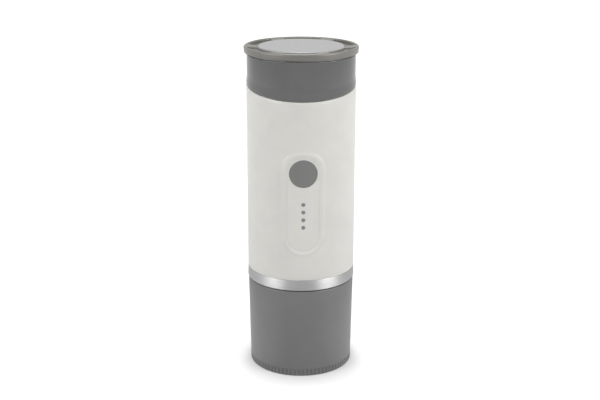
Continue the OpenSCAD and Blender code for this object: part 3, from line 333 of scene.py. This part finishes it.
def circuit_board(name, colour):
    """Solder mask with copper tracks just showing under it."""
    made = Finish(name, Coat_Weight=0.3, Coat_Roughness=0.2)
    tracks = made.node("ShaderNodeTexBrick", {"Vector": made.space}, Scale=TRACK_SCALE)
    for socket, factor in (("Color1", 0.85), ("Color2", 1.0), ("Mortar", 1.6)):
        tracks.inputs[socket].default_value = shade(colour, factor)
    made.tree.links.new(tracks.outputs["Color"], made.shader.inputs["Base Color"])
    made.roughness(made.noise(2.0), 0.35, 0.5)
    made.bump(tracks.outputs["Fac"], TRACK_DEPTH)


BRUSHED = {"Anisotropic": 0.75, "Anisotropic_Rotation": 0.25}
# The disc's lighter tone is painted light: it stands in for the top light on the lid's one grey plastic.
LID_RIM, LID_DISC_PAINTED_LIGHT = linear(115, 113, 107), linear(156, 156, 156)

# Outside
painted_light_disc("lid_grey", LID_RIM, LID_DISC_PAINTED_LIGHT, DISC_R, 0.34, 0.006, Specular_IOR_Level=0.8)
moulded("collar_gloss", linear(107, 107, 107), 0.12, grain=3.0, depth=0.002)
for white in ("shell_white", "panel_white"):
    moulded(white, linear(221, 220, 215), 0.33, grain=0.5, depth=0.003, Specular_IOR_Level=0.4)
moulded("button_grey", linear(122, 122, 121), 0.45)
moulded("light_lens", linear(132, 137, 145), 0.2, grain=0.8, depth=0.003)
worked_metal("ring_metal", linear(188, 188, 188), 0.52, ROUND_AXIS, **BRUSHED)
moulded("cup_grey", linear(112, 112, 112), 0.44, Specular_IOR_Level=0.7)

# Inside
moulded("plug_grey", linear(200, 200, 198), 0.42)
moulded("holder_grey", linear(98, 98, 97), 0.48)
moulded("head_grey", linear(104, 104, 104), 0.5)
worked_metal("tank_steel", linear(208, 208, 210), 0.35, ROUND_AXIS, line=0.25)
moulded("silicone_pale", linear(224, 225, 226), 0.55, grain=0.6)
moulded("silicone_dark", linear(46, 46, 47), 0.6, grain=0.6)
worked_metal("brass", linear(214, 180, 112), 0.36, ROUND_AXIS, line=0.2)
worked_metal("heater", linear(190, 160, 118), 0.45, ALL_WAYS, line=0.8)
moulded("sensor_white", linear(228, 228, 222), 0.5)
circuit_board("board_green", linear(26, 92, 52))
moulded("chip_black", linear(34, 34, 35), 0.5, grain=0.2)
moulded("led_clear", linear(226, 232, 232), 0.15, grain=1.0, depth=0.002)
worked_metal("screw_steel", linear(190, 190, 188), 0.36, ROUND_AXIS, line=0.15)
moulded("deck_grey", linear(146, 148, 152), 0.5)
moulded("cell_wrap", linear(58, 110, 166), 0.33, grain=2.0, depth=0.01)
worked_metal("nickel", linear(206, 203, 197), 0.2, ROUND_AXIS, line=0.12)
worked_metal("motor_steel", linear(186, 187, 188), 0.38, UP_AXIS, line=0.3)
moulded("magnet", linear(62, 62, 64), 0.6, grain=0.3, depth=0.02)
moulded("motor_cap", linear(40, 40, 41), 0.45)
worked_metal("armature", linear(190, 118, 72), 0.36, UP_AXIS, line=0.35, depth=0.03)
moulded("pump_plastic", linear(178, 178, 174), 0.48)

for subpart in frame["record"]["subparts"]:
    node = frame["nodes"][subpart["node"]]
    node.data.materials.clear()
    node.data.materials.append(finishes[subpart["material_slot"]])


# Lid: disc, six pockets with sloping webs between them, rounded lip

WEBS, WEB_HALF, WEB_TURN, WEB_EDGE = 6, math.radians(8.5), math.radians(26), 0.5
WEB_DROP_IN, WEB_DROP_OUT, POCKET_DEPTH = 1.3, 0.35, 2.2
DISC_ROUND, DISC_CROWN, RIM_ROUND, LIP_ROUND, LIP_LOW_ROUND = 1.1, 0.15, 0.9, 1.15, 0.6
DISC_ROWS = (0.0, 7.0, 14.0, 21.0, 25.0)
CHANNEL_ROWS = (DISC_R + 0.05, DISC_R + 3, CHANNEL_R - 3, CHANNEL_R - 0.05)
LID_COLUMNS, DISC_STEPS, RIM_STEPS = 720, 8, 6


def lid_profile(angle):
    """Outline of the lid at an angle, from the top's middle out over the lip and back underneath."""
    pitch = TAU / WEBS
    from_web = abs((angle - WEB_TURN + pitch / 2) % pitch - pitch / 2)
    in_pocket = float(smoothstep(-WEB_EDGE, WEB_EDGE, (from_web - WEB_HALF) * CHANNEL_R))
    pocket_z = LID_TOP - POCKET_DEPTH

    def floor(r):
        web = float(np.interp(r, [DISC_R, CHANNEL_R], [WEB_DROP_IN, WEB_DROP_OUT]))
        return LID_TOP - web - (POCKET_DEPTH - web) * in_pocket

    disc = [(r, LID_TOP - DISC_CROWN * (r / DISC_R) ** 2) for r in DISC_ROWS]
    edge = fillet(
        [(*disc[-1], 0), (DISC_R, LID_TOP - DISC_CROWN, DISC_ROUND), (DISC_R, pocket_z, 0)], DISC_STEPS
    )[1:-1]
    channel = [(r, floor(r)) for r in CHANNEL_ROWS]
    rim = fillet(
        [(CHANNEL_R, pocket_z, 0), (CHANNEL_R, LID_TOP, RIM_ROUND), (LIP_R, LID_TOP, 0)], RIM_STEPS
    )[1:-1]
    lip = fillet([
        (CHANNEL_R, LID_TOP, 0), (LIP_R, LID_TOP, LIP_ROUND), (LIP_R - LIP_LEAN, LIP_Z0, LIP_LOW_ROUND),
        (LID_UNDER_R, LIP_Z0, 0),
    ], RIM_STEPS)[1:]
    top = [(r, max(z, floor(r))) for r, z in [*disc, *edge, *channel, *rim]]
    return [*top, *lip, (0.0, LIP_Z0)]


make_piece("lid_cap_skin", *turned(lid_profile, LID_COLUMNS), "lid", "lid_grey", ["lid_cap"])


# Collar: upright wall that flares out softly towards the slanted seam

# Round of an edge beside the seam, and the height of the one point that stands on it
EDGE_ROUND, EDGE_STEP = 0.3, 0.08
FLARE_LOW, FLARE_HIGH, FLARE_ROWS, WALL_LOW = 0.5, 6.8, 13, 7.6
COLLAR_ROUND, TANK_SEAT_ROUND = 0.5, 0.25
COLLAR_COLUMNS = 192


def seam_z(r, angle):
    return SEAM_Z + (BODY_R - r * math.cos(angle)) * SEAM_SLOPE


def collar_profile(angle):
    """Outline of the collar at an angle, from the spigot out along the seam, up to the top and back inside."""
    low = seam_z(BODY_R, angle) + SEAM_GAP
    rise = np.linspace(FLARE_LOW, FLARE_HIGH, FLARE_ROWS)
    flare = COLLAR_R + (BODY_R - COLLAR_R) * (1 - smoothstep(FLARE_LOW, FLARE_HIGH, rise))
    edge = [
        (SPIGOT_R, seam_z(SPIGOT_R, angle) + SEAM_GAP), (BODY_R - EDGE_ROUND, low),
        (BODY_R - EDGE_STEP, low + EDGE_STEP), (BODY_R, low + EDGE_ROUND),
    ]
    top = fillet([
        (COLLAR_R, low + WALL_LOW, 0), (COLLAR_R, COLLAR_TOP, COLLAR_ROUND),
        (TANK_SEAT_R, COLLAR_TOP, TANK_SEAT_ROUND), (TANK_SEAT_R, TANK_SEAT_Z, 0),
    ])
    inside = [(BORE_R, TANK_SEAT_Z), (BORE_R, SPIGOT_Z0), (SPIGOT_R, SPIGOT_Z0)]
    return [*edge, *zip(flare.tolist(), (low + rise).tolist()), *top, *inside]


make_piece("collar_skin", *turned(collar_profile, COLLAR_COLUMNS), "body", "collar_gloss", ["upper_collar"])


# Body shell: cylinder with a soft raised frame round the panel, and the charging slot at the back.
# Its skin is laid out flat first: u runs round it, and w up it, over the lips at both ends.

PANEL_ENDS = ((0, PANEL_Z0), (0, BUTTON_Z))
SLOT_ENDS = ((-SOCKET_RUN, SOCKET_Z), (SOCKET_RUN, SOCKET_Z))
PANEL_BOW_R, FRAME_BOW_R, FRAME_RISE = 60, 43, 0.3
# Distances from the panel's middle line over which the frame falls, outwards and inwards
FRAME_OUT, FRAME_IN, FRAME_END, SQUARENESS = (12.6, 14.8), (10.6, 12.8), 16.3, 2.6
PANEL_HOLE, PANEL_HOLE_DEPTH = 10.63, 1.6
SLOT_HOLE, SLOT_DEPTH, SLOT_DISH, SLOT_DISH_END = 2.05, 2.0, 0.25, 2.3
# Half the angle of the windows, at the front and at the back, that hold the panel and the slot
FRONT_WINDOW, BACK_WINDOW = 0.7, 0.4

SPLIT_Z = 165.0
SPLIT_W = SPLIT_Z - SHELL_Z0
FOOT_W, HEAD_W = [-2, -1, -0.5, 0], [120, 120.3, 120.7, 122.5]
LOW_WALL_W, HIGH_WALL_W = np.linspace(3, SPLIT_W, 32), np.linspace(98, HEAD_W[0], 8)
COLUMN_STEP, FIRST_COLUMN, LAST_COLUMN = 2.5, -270, 90
FRAME_RINGS = [10.75, 10.9, *np.linspace(11.1, 15.0, 14), *np.linspace(15.4, 16.6, 4), 17.2]
SLOT_RINGS = [2.12, 2.25, 2.6, 3.2, 4.2]
FRAME_CLEAR, SLOT_CLEAR = 17.8, 5.2
FRAME_POINTS, SLOT_POINTS = 240, 72
# Widths of the walls of the two holes in the flat layout, and a margin inside them
PANEL_WALL, SLOT_WALL, MARGIN = 0.04, 0.03, 0.01


def bowed(radius, front, x):
    """Distance in front of the axis of an upright cylinder of that radius, at a sideways distance x."""
    return math.sqrt(radius**2 - x**2) - radius + front


def panel_face(x):
    return bowed(PANEL_BOW_R, PANEL_FRONT, x)


def shell_relief(x, z):
    """Distance of the shell's front from the axis plane, with the frame that rises round the panel."""
    d = from_line(x, z, PANEL_ENDS)
    reach = d
    if z >= BUTTON_Z:
        reach = (abs(x) ** SQUARENESS + (z - BUTTON_Z) ** SQUARENESS) ** (1 / SQUARENESS)
    plain, crest = bowed(BODY_R, BODY_R, x), bowed(FRAME_BOW_R, BODY_R + FRAME_RISE, x)
    raised = plain + (crest - plain) * (1 - smoothstep(*FRAME_OUT, reach))
    return panel_face(x) + (raised - panel_face(x)) * smoothstep(*FRAME_IN, d)


def at_front(angle):
    return abs(angle) < FRONT_WINDOW


def at_back(angle):
    return abs(angle + math.pi) < BACK_WINDOW


def shell_place(u, w):
    """Point of the shell for a point of the flat layout."""
    angle = u / BODY_R
    top, inner_top = seam_z(BODY_R, angle), seam_z(SHELL_HEAD_R, angle)
    rows = [*FOOT_W, SPLIT_W, *HEAD_W]
    foot_r = [SHELL_FOOT_R, BODY_R - EDGE_ROUND, BODY_R - EDGE_STEP, BODY_R]
    head_r = [BODY_R, BODY_R - EDGE_STEP, BODY_R - EDGE_ROUND, SHELL_HEAD_R]
    foot_z = [SHELL_Z0, SHELL_Z0, SHELL_Z0 + EDGE_STEP, SHELL_Z0 + EDGE_ROUND]
    head_z = [top - EDGE_ROUND, top - EDGE_STEP, top, inner_top]
    r = float(np.interp(w, rows, [*foot_r, BODY_R, *head_r]))
    z = float(np.interp(w, rows, [*foot_z, SPLIT_Z, *head_z]))
    x, y = r * math.sin(angle), -r * math.cos(angle)
    if at_front(angle) and z < SPLIT_Z:
        d = from_line(x, z, PANEL_ENDS)
        if d < PANEL_HOLE - MARGIN:
            y = PANEL_HOLE_DEPTH - panel_face(x)
        elif d < FRAME_END:
            y = -shell_relief(x, z)
    elif at_back(angle):
        d = from_line(x, z, SLOT_ENDS)
        in_hole = d < SLOT_HOLE - MARGIN
        y -= SLOT_DEPTH if in_hole else SLOT_DISH * (1 - float(smoothstep(SLOT_HOLE, SLOT_DISH_END, d)))
    return x, y, z


def shell_height(z):
    return float(np.interp(z, [SHELL_Z0 + EDGE_ROUND, SPLIT_Z], [0, SPLIT_W]))


def unrolled(offset, ends, count, back=False):
    """The round-ended outline of (x, z) points in the flat layout, at the front or at the back."""
    turn, side = (-math.pi, -1) if back else (0.0, 1)
    return [
        (BODY_R * (turn + side * math.asin(x / BODY_R)), shell_height(z)) for x, z in oval(offset, ends, count)
    ]


def build_shell():
    degrees = np.arange(FIRST_COLUMN, LAST_COLUMN + 0.1, COLUMN_STEP)
    columns = [math.radians(a) * BODY_R for a in degrees]
    between = [columns[0], *[(a + b) / 2 for a, b in zip(columns, columns[1:])], columns[-1]]
    rows = [(columns, w) for w in [*FOOT_W, *HEAD_W[1:]]]
    rows += [(columns if k % 2 else between, w) for k, w in enumerate([*LOW_WALL_W, *HIGH_WALL_W])]
    points = []
    for across, w in rows:
        for u in across:
            x, _, z = shell_place(u, w)
            near_panel = at_front(u / BODY_R) and from_line(x, z, PANEL_ENDS) < FRAME_CLEAR
            near_slot = at_back(u / BODY_R) and from_line(x, z, SLOT_ENDS) < SLOT_CLEAR
            if not near_panel and not near_slot:
                points.append((u, w))
    for d in FRAME_RINGS:
        points += unrolled(d, PANEL_ENDS, FRAME_POINTS)
    for d in SLOT_RINGS:
        points += unrolled(d, SLOT_ENDS, SLOT_POINTS, back=True)
    loops = [unrolled(d, PANEL_ENDS, FRAME_POINTS) for d in (PANEL_HOLE - PANEL_WALL, PANEL_HOLE)]
    loops += [unrolled(d, SLOT_ENDS, SLOT_POINTS, back=True) for d in (SLOT_HOLE - SLOT_WALL, SLOT_HOLE)]

    def is_hole(u, w):
        angle = u / BODY_R
        x, z = BODY_R * math.sin(angle), shell_place(u, w)[2]
        if at_front(angle):
            return from_line(x, z, PANEL_ENDS) < PANEL_HOLE - PANEL_WALL - MARGIN
        return at_back(angle) and from_line(x, z, SLOT_ENDS) < SLOT_HOLE - SLOT_WALL - MARGIN

    return triangulated(points, loops, is_hole, shell_place)


make_piece("shell_skin", *build_shell(), "body", "shell_white", ["body_shell"])


# Panel insert with its button hole and light holes, each with a small round on its edge

# Distance in from an edge, with the depth below the face there, and the share of that distance at a light hole
PANEL_EDGE, LIGHT_SHARE = [(0.0, 1.8), (0.01, 0.03), (0.04, 0.01), (0.1, 0.0)], 0.5
PANEL_R, BUTTON_HOLE, LIGHT_HOLE = 10.6, 9.15, 1.28
PANEL_POINTS, BUTTON_POINTS, LIGHT_POINTS = 240, 96, 32
# Grid over the face: its reach, its steps, and how far it keeps from the holes and the rim
GRID_REACH, GRID_X, GRID_Z = 9.6, 1.2, 1.3
BUTTON_CLEAR, LIGHT_CLEAR, RIM_CLEAR = 9.8, 1.9, 10.0


def panel_drop(x, z):
    """Depth of the panel's skin below its face, at the rounds and walls of its edges."""
    gaps = [PANEL_R - from_line(x, z, PANEL_ENDS), math.hypot(x, z - BUTTON_Z) - BUTTON_HOLE]
    gaps += [(math.hypot(x, z - light) - LIGHT_HOLE) / LIGHT_SHARE for light in LIGHTS_Z]
    return float(np.interp(min(gaps), *zip(*PANEL_EDGE)))


def clear_of_holes(x, z, button_r, light_r):
    return math.hypot(x, z - BUTTON_Z) > button_r and all(math.hypot(x, z - q) > light_r for q in LIGHTS_Z)


def build_panel():
    steps = [step for step, _ in PANEL_EDGE]

    def round_hole(z, radius, share, count):
        return [oval(radius + step * share, ((0, z), (0, z)), count) for step in steps]

    edges = [[oval(PANEL_R - step, PANEL_ENDS, PANEL_POINTS) for step in steps]]
    edges.append(round_hole(BUTTON_Z, BUTTON_HOLE, 1, BUTTON_POINTS))
    edges += [round_hole(z, LIGHT_HOLE, LIGHT_SHARE, LIGHT_POINTS) for z in LIGHTS_Z]
    points = [p for rings in edges for ring in rings[1:] for p in ring]
    for x in np.arange(-GRID_REACH, GRID_REACH + 0.1, GRID_X):
        for z in np.arange(PANEL_Z0 - GRID_REACH, BUTTON_Z + GRID_REACH + 0.1, GRID_Z):
            if clear_of_holes(x, z, BUTTON_CLEAR, LIGHT_CLEAR) and from_line(x, z, PANEL_ENDS) < RIM_CLEAR:
                points.append((x, z))

    def is_hole(x, z):
        return from_line(x, z, PANEL_ENDS) > PANEL_R or not clear_of_holes(x, z, BUTTON_HOLE, LIGHT_HOLE)

    def place(x, z):
        return x, panel_drop(x, z) - panel_face(x), z

    return triangulated(points, [rings[0] for rings in edges], is_hole, place)


make_piece("panel_skin", *build_panel(), "body", "panel_white", ["control_panel"])


# Button and lights

BUTTON_R, BUTTON_FRONT, BUTTON_BACK, BUTTON_ROUND, BUTTON_CHAMFER = 9.05, 35.9, 32.3, 0.35, 0.3
BUTTON_BORE_R, BUTTON_INSIDE, STEM_R, STEM_BACK = 7.65, 34.1, 2.2, 31.3
LENS_R, LENS_FLANGE_R, LENS_FLANGE_FRONT, LENS_FLANGE_BACK, LENS_BACK = 1.25, 1.6, 32.3, 31.1, 27.7


def front_disc(centre_z, outline, columns, bow):
    """Round piece on the front; outline has (radius, distance from the axis plane) pairs, middle first."""
    points, faces = [(0, -outline[0][1] - bow(0), centre_z)], []
    for radius, front in outline[1:]:
        for c in range(columns):
            x, z = radius * math.sin(TAU * c / columns), radius * math.cos(TAU * c / columns)
            points.append((x, -front - bow(x), centre_z + z))
    for c in range(columns):
        faces.append([0, 1 + c, 1 + (c + 1) % columns])
        for k in range(len(outline) - 2):
            low, high = 1 + k * columns, 1 + (k + 1) * columns
            faces.append([low + c, high + c, high + (c + 1) % columns, low + (c + 1) % columns])
    return points, faces


button_outline = [
    *[(r, BUTTON_FRONT) for r in (0, 3, 6, 8)],
    *fillet([(8.4, BUTTON_FRONT, 0), (BUTTON_R, BUTTON_FRONT, BUTTON_ROUND), (BUTTON_R, 34.6, 0)]),
    (BUTTON_R, BUTTON_BACK + BUTTON_CHAMFER), (BUTTON_R - BUTTON_CHAMFER, BUTTON_BACK),
    (BUTTON_BORE_R, BUTTON_BACK), (BUTTON_BORE_R, BUTTON_INSIDE), (STEM_R, BUTTON_INSIDE),
    (STEM_R, STEM_BACK), (0.4, STEM_BACK),
]
button_mesh = front_disc(BUTTON_Z, button_outline, BUTTON_POINTS, lambda x: panel_face(x) - PANEL_FRONT)
make_piece("button_skin", *button_mesh, "button", "button_grey", ["power_button"])

light_outline = [
    (0, 35.72), (0.5, 35.71), (0.9, 35.66), (1.15, 35.56), (LENS_R, 35.4),
    (LENS_R, LENS_FLANGE_FRONT), (LENS_FLANGE_R, LENS_FLANGE_FRONT),
    (LENS_FLANGE_R, LENS_FLANGE_BACK), (LENS_R, LENS_FLANGE_BACK), (LENS_R, LENS_BACK), (0.3, LENS_BACK),
]
for k, light_z in enumerate(LIGHTS_Z):
    light_mesh = front_disc(light_z, light_outline, LIGHT_POINTS, lambda x: 0.0)
    make_piece(f"light_lens_{k + 1}", *light_mesh, "body", "light_lens", ["light_guide"])


# Metal ring and cup

RING_ROUND, RING_INNER_ROUND, RING_COLUMNS = 0.3, 0.15, 240
RING_OUTLINE = fillet([
    (RING_R_IN, RING_Z0, RING_INNER_ROUND), (BODY_R + RING_FLARE, RING_Z0, RING_ROUND),
    (BODY_R, SHELL_Z0, RING_ROUND), (RING_R_IN, SHELL_Z0, RING_INNER_ROUND),
])
ring_mesh = turned(lambda angle: RING_OUTLINE, RING_COLUMNS)
make_piece("ring_skin", *ring_mesh, "body", "ring_metal", ["trim_ring"], crease=60)

FLUTES, FLUTE_H, FLUTE_R, FLUTE_DEPTH, FLUTE_COLUMNS = 80, 5.0, 0.7, 0.5, 10
FLUTE_RUNOUT, FLUTE_RUNOUT_H = 0.6, 0.9
FOOT_R_IN, RECESS_R, RECESS_H = 28.75, 27.95, 0.8
MOUTH_R, LEDGE_Z, CUP_R_IN_HIGH, CUP_R_IN_LOW = 33.8, 54.0, 32.2, 31.15
# Radius outside which the flutes cut the cup, and heights of its side's rows, close together where they end
FLUTED_R = 33.0
CUP_SIDE_Z = [1.2, 1.8, 2.4, 3.0, 3.5, 4.0, 4.3, 4.6, 4.8, 5.0, 5.3, 6.5, 12, 24, 36, 48]


def cup_wall_r(z):
    return CUP_BASE_R + (CUP_TOP_R - CUP_BASE_R) * z / CUP_H


def plain_cup_outline():
    """The cup's outline without flutes, from the middle of its foot round to the middle of its floor."""
    corners = fillet([
        (RECESS_R, RECESS_H, 0.2), (FOOT_R_IN, 0, 0.3), (CUP_BASE_R, 0, 0.8), (CUP_TOP_R, CUP_H, 0.9),
        (MOUTH_R, CUP_H, 0.6), (MOUTH_R, LEDGE_Z, 0.2), (CUP_R_IN_HIGH, LEDGE_Z, 0.3),
        (CUP_R_IN_LOW, CUP_FLOOR, 2.4),
    ])
    split = next(k for k, (r, z) in enumerate(corners) if z > CUP_H / 2)
    side = [(cup_wall_r(z), z) for z in CUP_SIDE_Z]
    return [(0.0, RECESS_H), *corners[:split], *side, *corners[split:], (0.0, CUP_FLOOR)]


CUP_OUTLINE = plain_cup_outline()


def cup_profile(angle):
    pitch = TAU / FLUTES
    off = ((angle + pitch / 2) % pitch - pitch / 2) * CUP_BASE_R
    if abs(off) >= FLUTE_R:
        return CUP_OUTLINE
    cut = CUP_BASE_R + FLUTE_R - FLUTE_DEPTH - math.sqrt(FLUTE_R**2 - off**2)

    def fluted(r, z):
        if r < FLUTED_R or z > FLUTE_H:
            return r, z
        runout = FLUTE_RUNOUT * float(smoothstep(FLUTE_H - FLUTE_RUNOUT_H, FLUTE_H, z)) ** 2
        return min(r, cut + runout), z

    return [fluted(r, z) for r, z in CUP_OUTLINE]


make_piece("cup_skin", *turned(cup_profile, FLUTES * FLUTE_COLUMNS), "cup", "cup_grey", ["coffee_cup"])


# Valve spring inside the head, made at one length, though it shortens as the ball opens

TURN_STEPS, WIRE_SIDES = 24, 10


def build_spring():
    """Coil of round wire between the lowest and the highest point that the source gives it."""
    rings = SPRING_TURNS * TURN_STEPS + 1
    points, faces = [], []
    for i in range(rings):
        turn = TAU * i / TURN_STEPS
        rise = SPRING_LOW + WIRE_R + (SPRING_HIGH - SPRING_LOW - 2 * WIRE_R) * i / (rings - 1)
        for j in range(WIRE_SIDES):
            r = SPRING_R + WIRE_R * math.cos(TAU * j / WIRE_SIDES)
            up = WIRE_R * math.sin(TAU * j / WIRE_SIDES)
            points.append((VALVE_X + r * math.cos(turn), VALVE_Y + r * math.sin(turn), rise + up))
    for i in range(rings - 1):
        for j in range(WIRE_SIDES):
            here, beside = i * WIRE_SIDES + j, i * WIRE_SIDES + (j + 1) % WIRE_SIDES
            faces.append([here, here + WIRE_SIDES, beside + WIRE_SIDES, beside])
    first_end = list(range(WIRE_SIDES))
    last_end = list(range(len(points) - 1, len(points) - WIRE_SIDES - 1, -1))
    return points, [*faces, first_end, last_end]


spring = make_piece("valve_spring_coil", *build_spring(), "body", "nickel", ["valve_spring"])
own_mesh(spring)


# Floor, light and camera, in metres. A bearing is -1 towards the front and 1 towards the back.

FLOOR_FAR, FLOOR_NEAR, FLOOR_DARK, FLOOR_LIGHT, FLOOR_CLOUD_SIZE = 6.0, -0.6, 0.55, 0.56, 400
# Glow of the floor beside the object and of the white sweep, and the distances over which it changes
NEAR_GLOW, FAR_GLOW, SWEEP = 0.58, 0.95, (0.15, 0.7)
# Shares of that glow in mirrored rays, and the bearings or distances over which they change
NEAR_MIRRORED, NEAR_BACK_MIRRORED, CLOSE_MIRRORED = 0.1, 0.4, 1.0
SIDE_MIRRORED, FRONT_MIRRORED, BACK_MIRRORED = 0.65, 0.6, 0.75
NEAR_TURN, BESIDE_TURN, CLOSE_BY, FAR_TURN = (-0.2, 0.6), (-0.92, -0.62), (0.1, 0.2), (0.57, 0.66)
# Reach of the painted contact shadow from the cup's edge, where the floor's glow is dimmed, and the shares of
# it over which the glow comes back
SHADOW_FRONT, SHADOW_SIDE, SHADOW_TURN, SHADOW_EDGE = 0.038, 0.009, (-1.0, 0.0), (-0.9, 1.0)
# Light from the surroundings
FRONT_FILL, BACK_FILL, FILL_TURN, WORLD_MIRROR_TURN = 0.08, 0.4, (-0.3, 0.6), (-0.3, 0.3)

SIDE_BOX, TOP_BOX, BODY_MIDDLE, BODY_TOP = (0.6, 0.34), (0.6, 0.6), (0, 0, 0.12), (0, 0, 0.2)
SOFTBOXES = [
    ("left_softbox", (-0.83, -0.441, 0.42), BODY_MIDDLE, SIDE_BOX, 5.3),
    ("right_softbox", (0.788, -0.512, 0.42), BODY_MIDDLE, SIDE_BOX, 6.1),
    ("top_softbox", (0.0, 0.0, 1.1), BODY_TOP, TOP_BOX, 7.0),
]

SENSOR_WIDTH, FOCAL_LENGTH, SHIFT_X = 36.0, 65.7, -0.0028
CAMERA_PLACE, CAMERA_TURN = (-0.0305, -0.7078, 0.3312), (72.96, -0.12, -2.47)


def seen_directly(tree, mirrored_share):
    """1 for camera and see-through rays, the given share for mirrored ones and 0 for other light."""
    rays = tree.nodes.new("ShaderNodeLightPath")
    mirrored = calculated(tree, "MULTIPLY", rays.outputs["Is Glossy Ray"], mirrored_share)
    straight = calculated(tree, "MAXIMUM", rays.outputs["Is Camera Ray"], rays.outputs["Is Transmission Ray"])
    return calculated(tree, "MAXIMUM", straight, mirrored)


def make_stage():
    """Pale floor: it shows its own shading round the object, with a painted contact shadow where its glow is
    dimmed near the cup, and turns white further out, as a sweep does.
    """
    left, right = -FLOOR_FAR, FLOOR_FAR
    corners = [(left, FLOOR_NEAR, 0), (right, FLOOR_NEAR, 0), (right, FLOOR_FAR, 0), (left, FLOOR_FAR, 0)]
    mesh = bpy.data.meshes.new("floor")
    mesh.from_pydata(corners, [], [[0, 1, 2, 3]])
    floor = bpy.data.objects.new("floor", mesh)
    scene.collection.objects.link(floor)
    look = Finish("floor_white", Roughness=0.9, Specular_IOR_Level=0.0, Emission_Color=(1, 1, 1, 1))
    tree = look.tree
    white = (1, 1, 1, 1)
    look.tint(look.noise(FLOOR_CLOUD_SIZE, 1.0), shade(white, FLOOR_DARK), shade(white, FLOOR_LIGHT))
    away = look.node("ShaderNodeVectorMath", {0: look.space}, operation="LENGTH").outputs["Value"]
    along = look.node("ShaderNodeSeparateXYZ", {0: look.space}).outputs["Y"]
    bearing = calculated(tree, "DIVIDE", along, away)

    beside = ramp(tree, bearing, *BESIDE_TURN, 0.0, 1.0)
    close_by = ramp(tree, away, *CLOSE_BY, CLOSE_MIRRORED, 0.0)
    plain_share = ramp(tree, bearing, *NEAR_TURN, NEAR_MIRRORED, NEAR_BACK_MIRRORED)
    near_share = calculated(tree, "MAXIMUM", plain_share, calculated(tree, "MULTIPLY", beside, close_by))
    far_share = ramp(tree, bearing, *FAR_TURN, SIDE_MIRRORED, BACK_MIRRORED)
    around = calculated(tree, "MULTIPLY", seen_directly(tree, near_share), NEAR_GLOW)
    backdrop = calculated(tree, "MULTIPLY", seen_directly(tree, far_share), FAR_GLOW)

    # Painted contact shadow: the glow fades near the cup's base, reaching further in front than at the sides.
    off_base = calculated(tree, "SUBTRACT", away, CUP_BASE_R * MM)
    reach = ramp(tree, bearing, *SHADOW_TURN, SHADOW_FRONT, SHADOW_SIDE)
    beyond_painted_shadow = ramp(tree, calculated(tree, "DIVIDE", off_base, reach), *SHADOW_EDGE, 0.0, 1.0)
    around = calculated(tree, "MULTIPLY", around, beyond_painted_shadow)
    glow = look.node("ShaderNodeMix", {0: ramp(tree, away, *SWEEP, 0.0, 1.0), 2: around, 3: backdrop})
    tree.links.new(glow.outputs[0], look.shader.inputs["Emission Strength"])
    mesh.materials.append(finishes["floor_white"])


def make_world():
    """White surroundings that give more light from behind, as a lit sweep does."""
    world = bpy.data.worlds.new("studio")
    scene.world = world
    world.use_nodes = True
    tree = world.node_tree
    backdrop = tree.nodes["Background"]
    backdrop.inputs["Color"].default_value = (1, 1, 1, 1)
    direction = tree.nodes.new("ShaderNodeSeparateXYZ")
    tree.links.new(tree.nodes.new("ShaderNodeTexCoord").outputs["Generated"], direction.inputs[0])
    along = direction.outputs["Y"]
    mirrored = ramp(tree, along, *WORLD_MIRROR_TURN, FRONT_MIRRORED, BACK_MIRRORED)
    fill = ramp(tree, along, *FILL_TURN, FRONT_FILL, BACK_FILL)
    level = calculated(tree, "MAXIMUM", seen_directly(tree, mirrored), fill)
    tree.links.new(level, backdrop.inputs["Strength"])


def make_softbox(name, place, aim, size, power):
    lamp = bpy.data.lights.new(name, "AREA")
    lamp.shape, lamp.size, lamp.size_y, lamp.energy = "RECTANGLE", size[0], size[1], power
    box = bpy.data.objects.new(name, lamp)
    scene.collection.objects.link(box)
    box.location = place
    box.rotation_euler = (Vector(aim) - Vector(place)).to_track_quat("-Z", "Y").to_euler()


def make_camera():
    lens = bpy.data.cameras.new("camera")
    lens.sensor_width, lens.lens, lens.shift_x = SENSOR_WIDTH, FOCAL_LENGTH, SHIFT_X
    camera = bpy.data.objects.new("camera", lens)
    scene.collection.objects.link(camera)
    camera.location = CAMERA_PLACE
    camera.rotation_euler = [math.radians(a) for a in CAMERA_TURN]
    scene.camera = camera


scene.view_settings.view_transform = "Standard"
make_stage()
make_world()
for softbox in SOFTBOXES:
    make_softbox(*softbox)
make_camera()
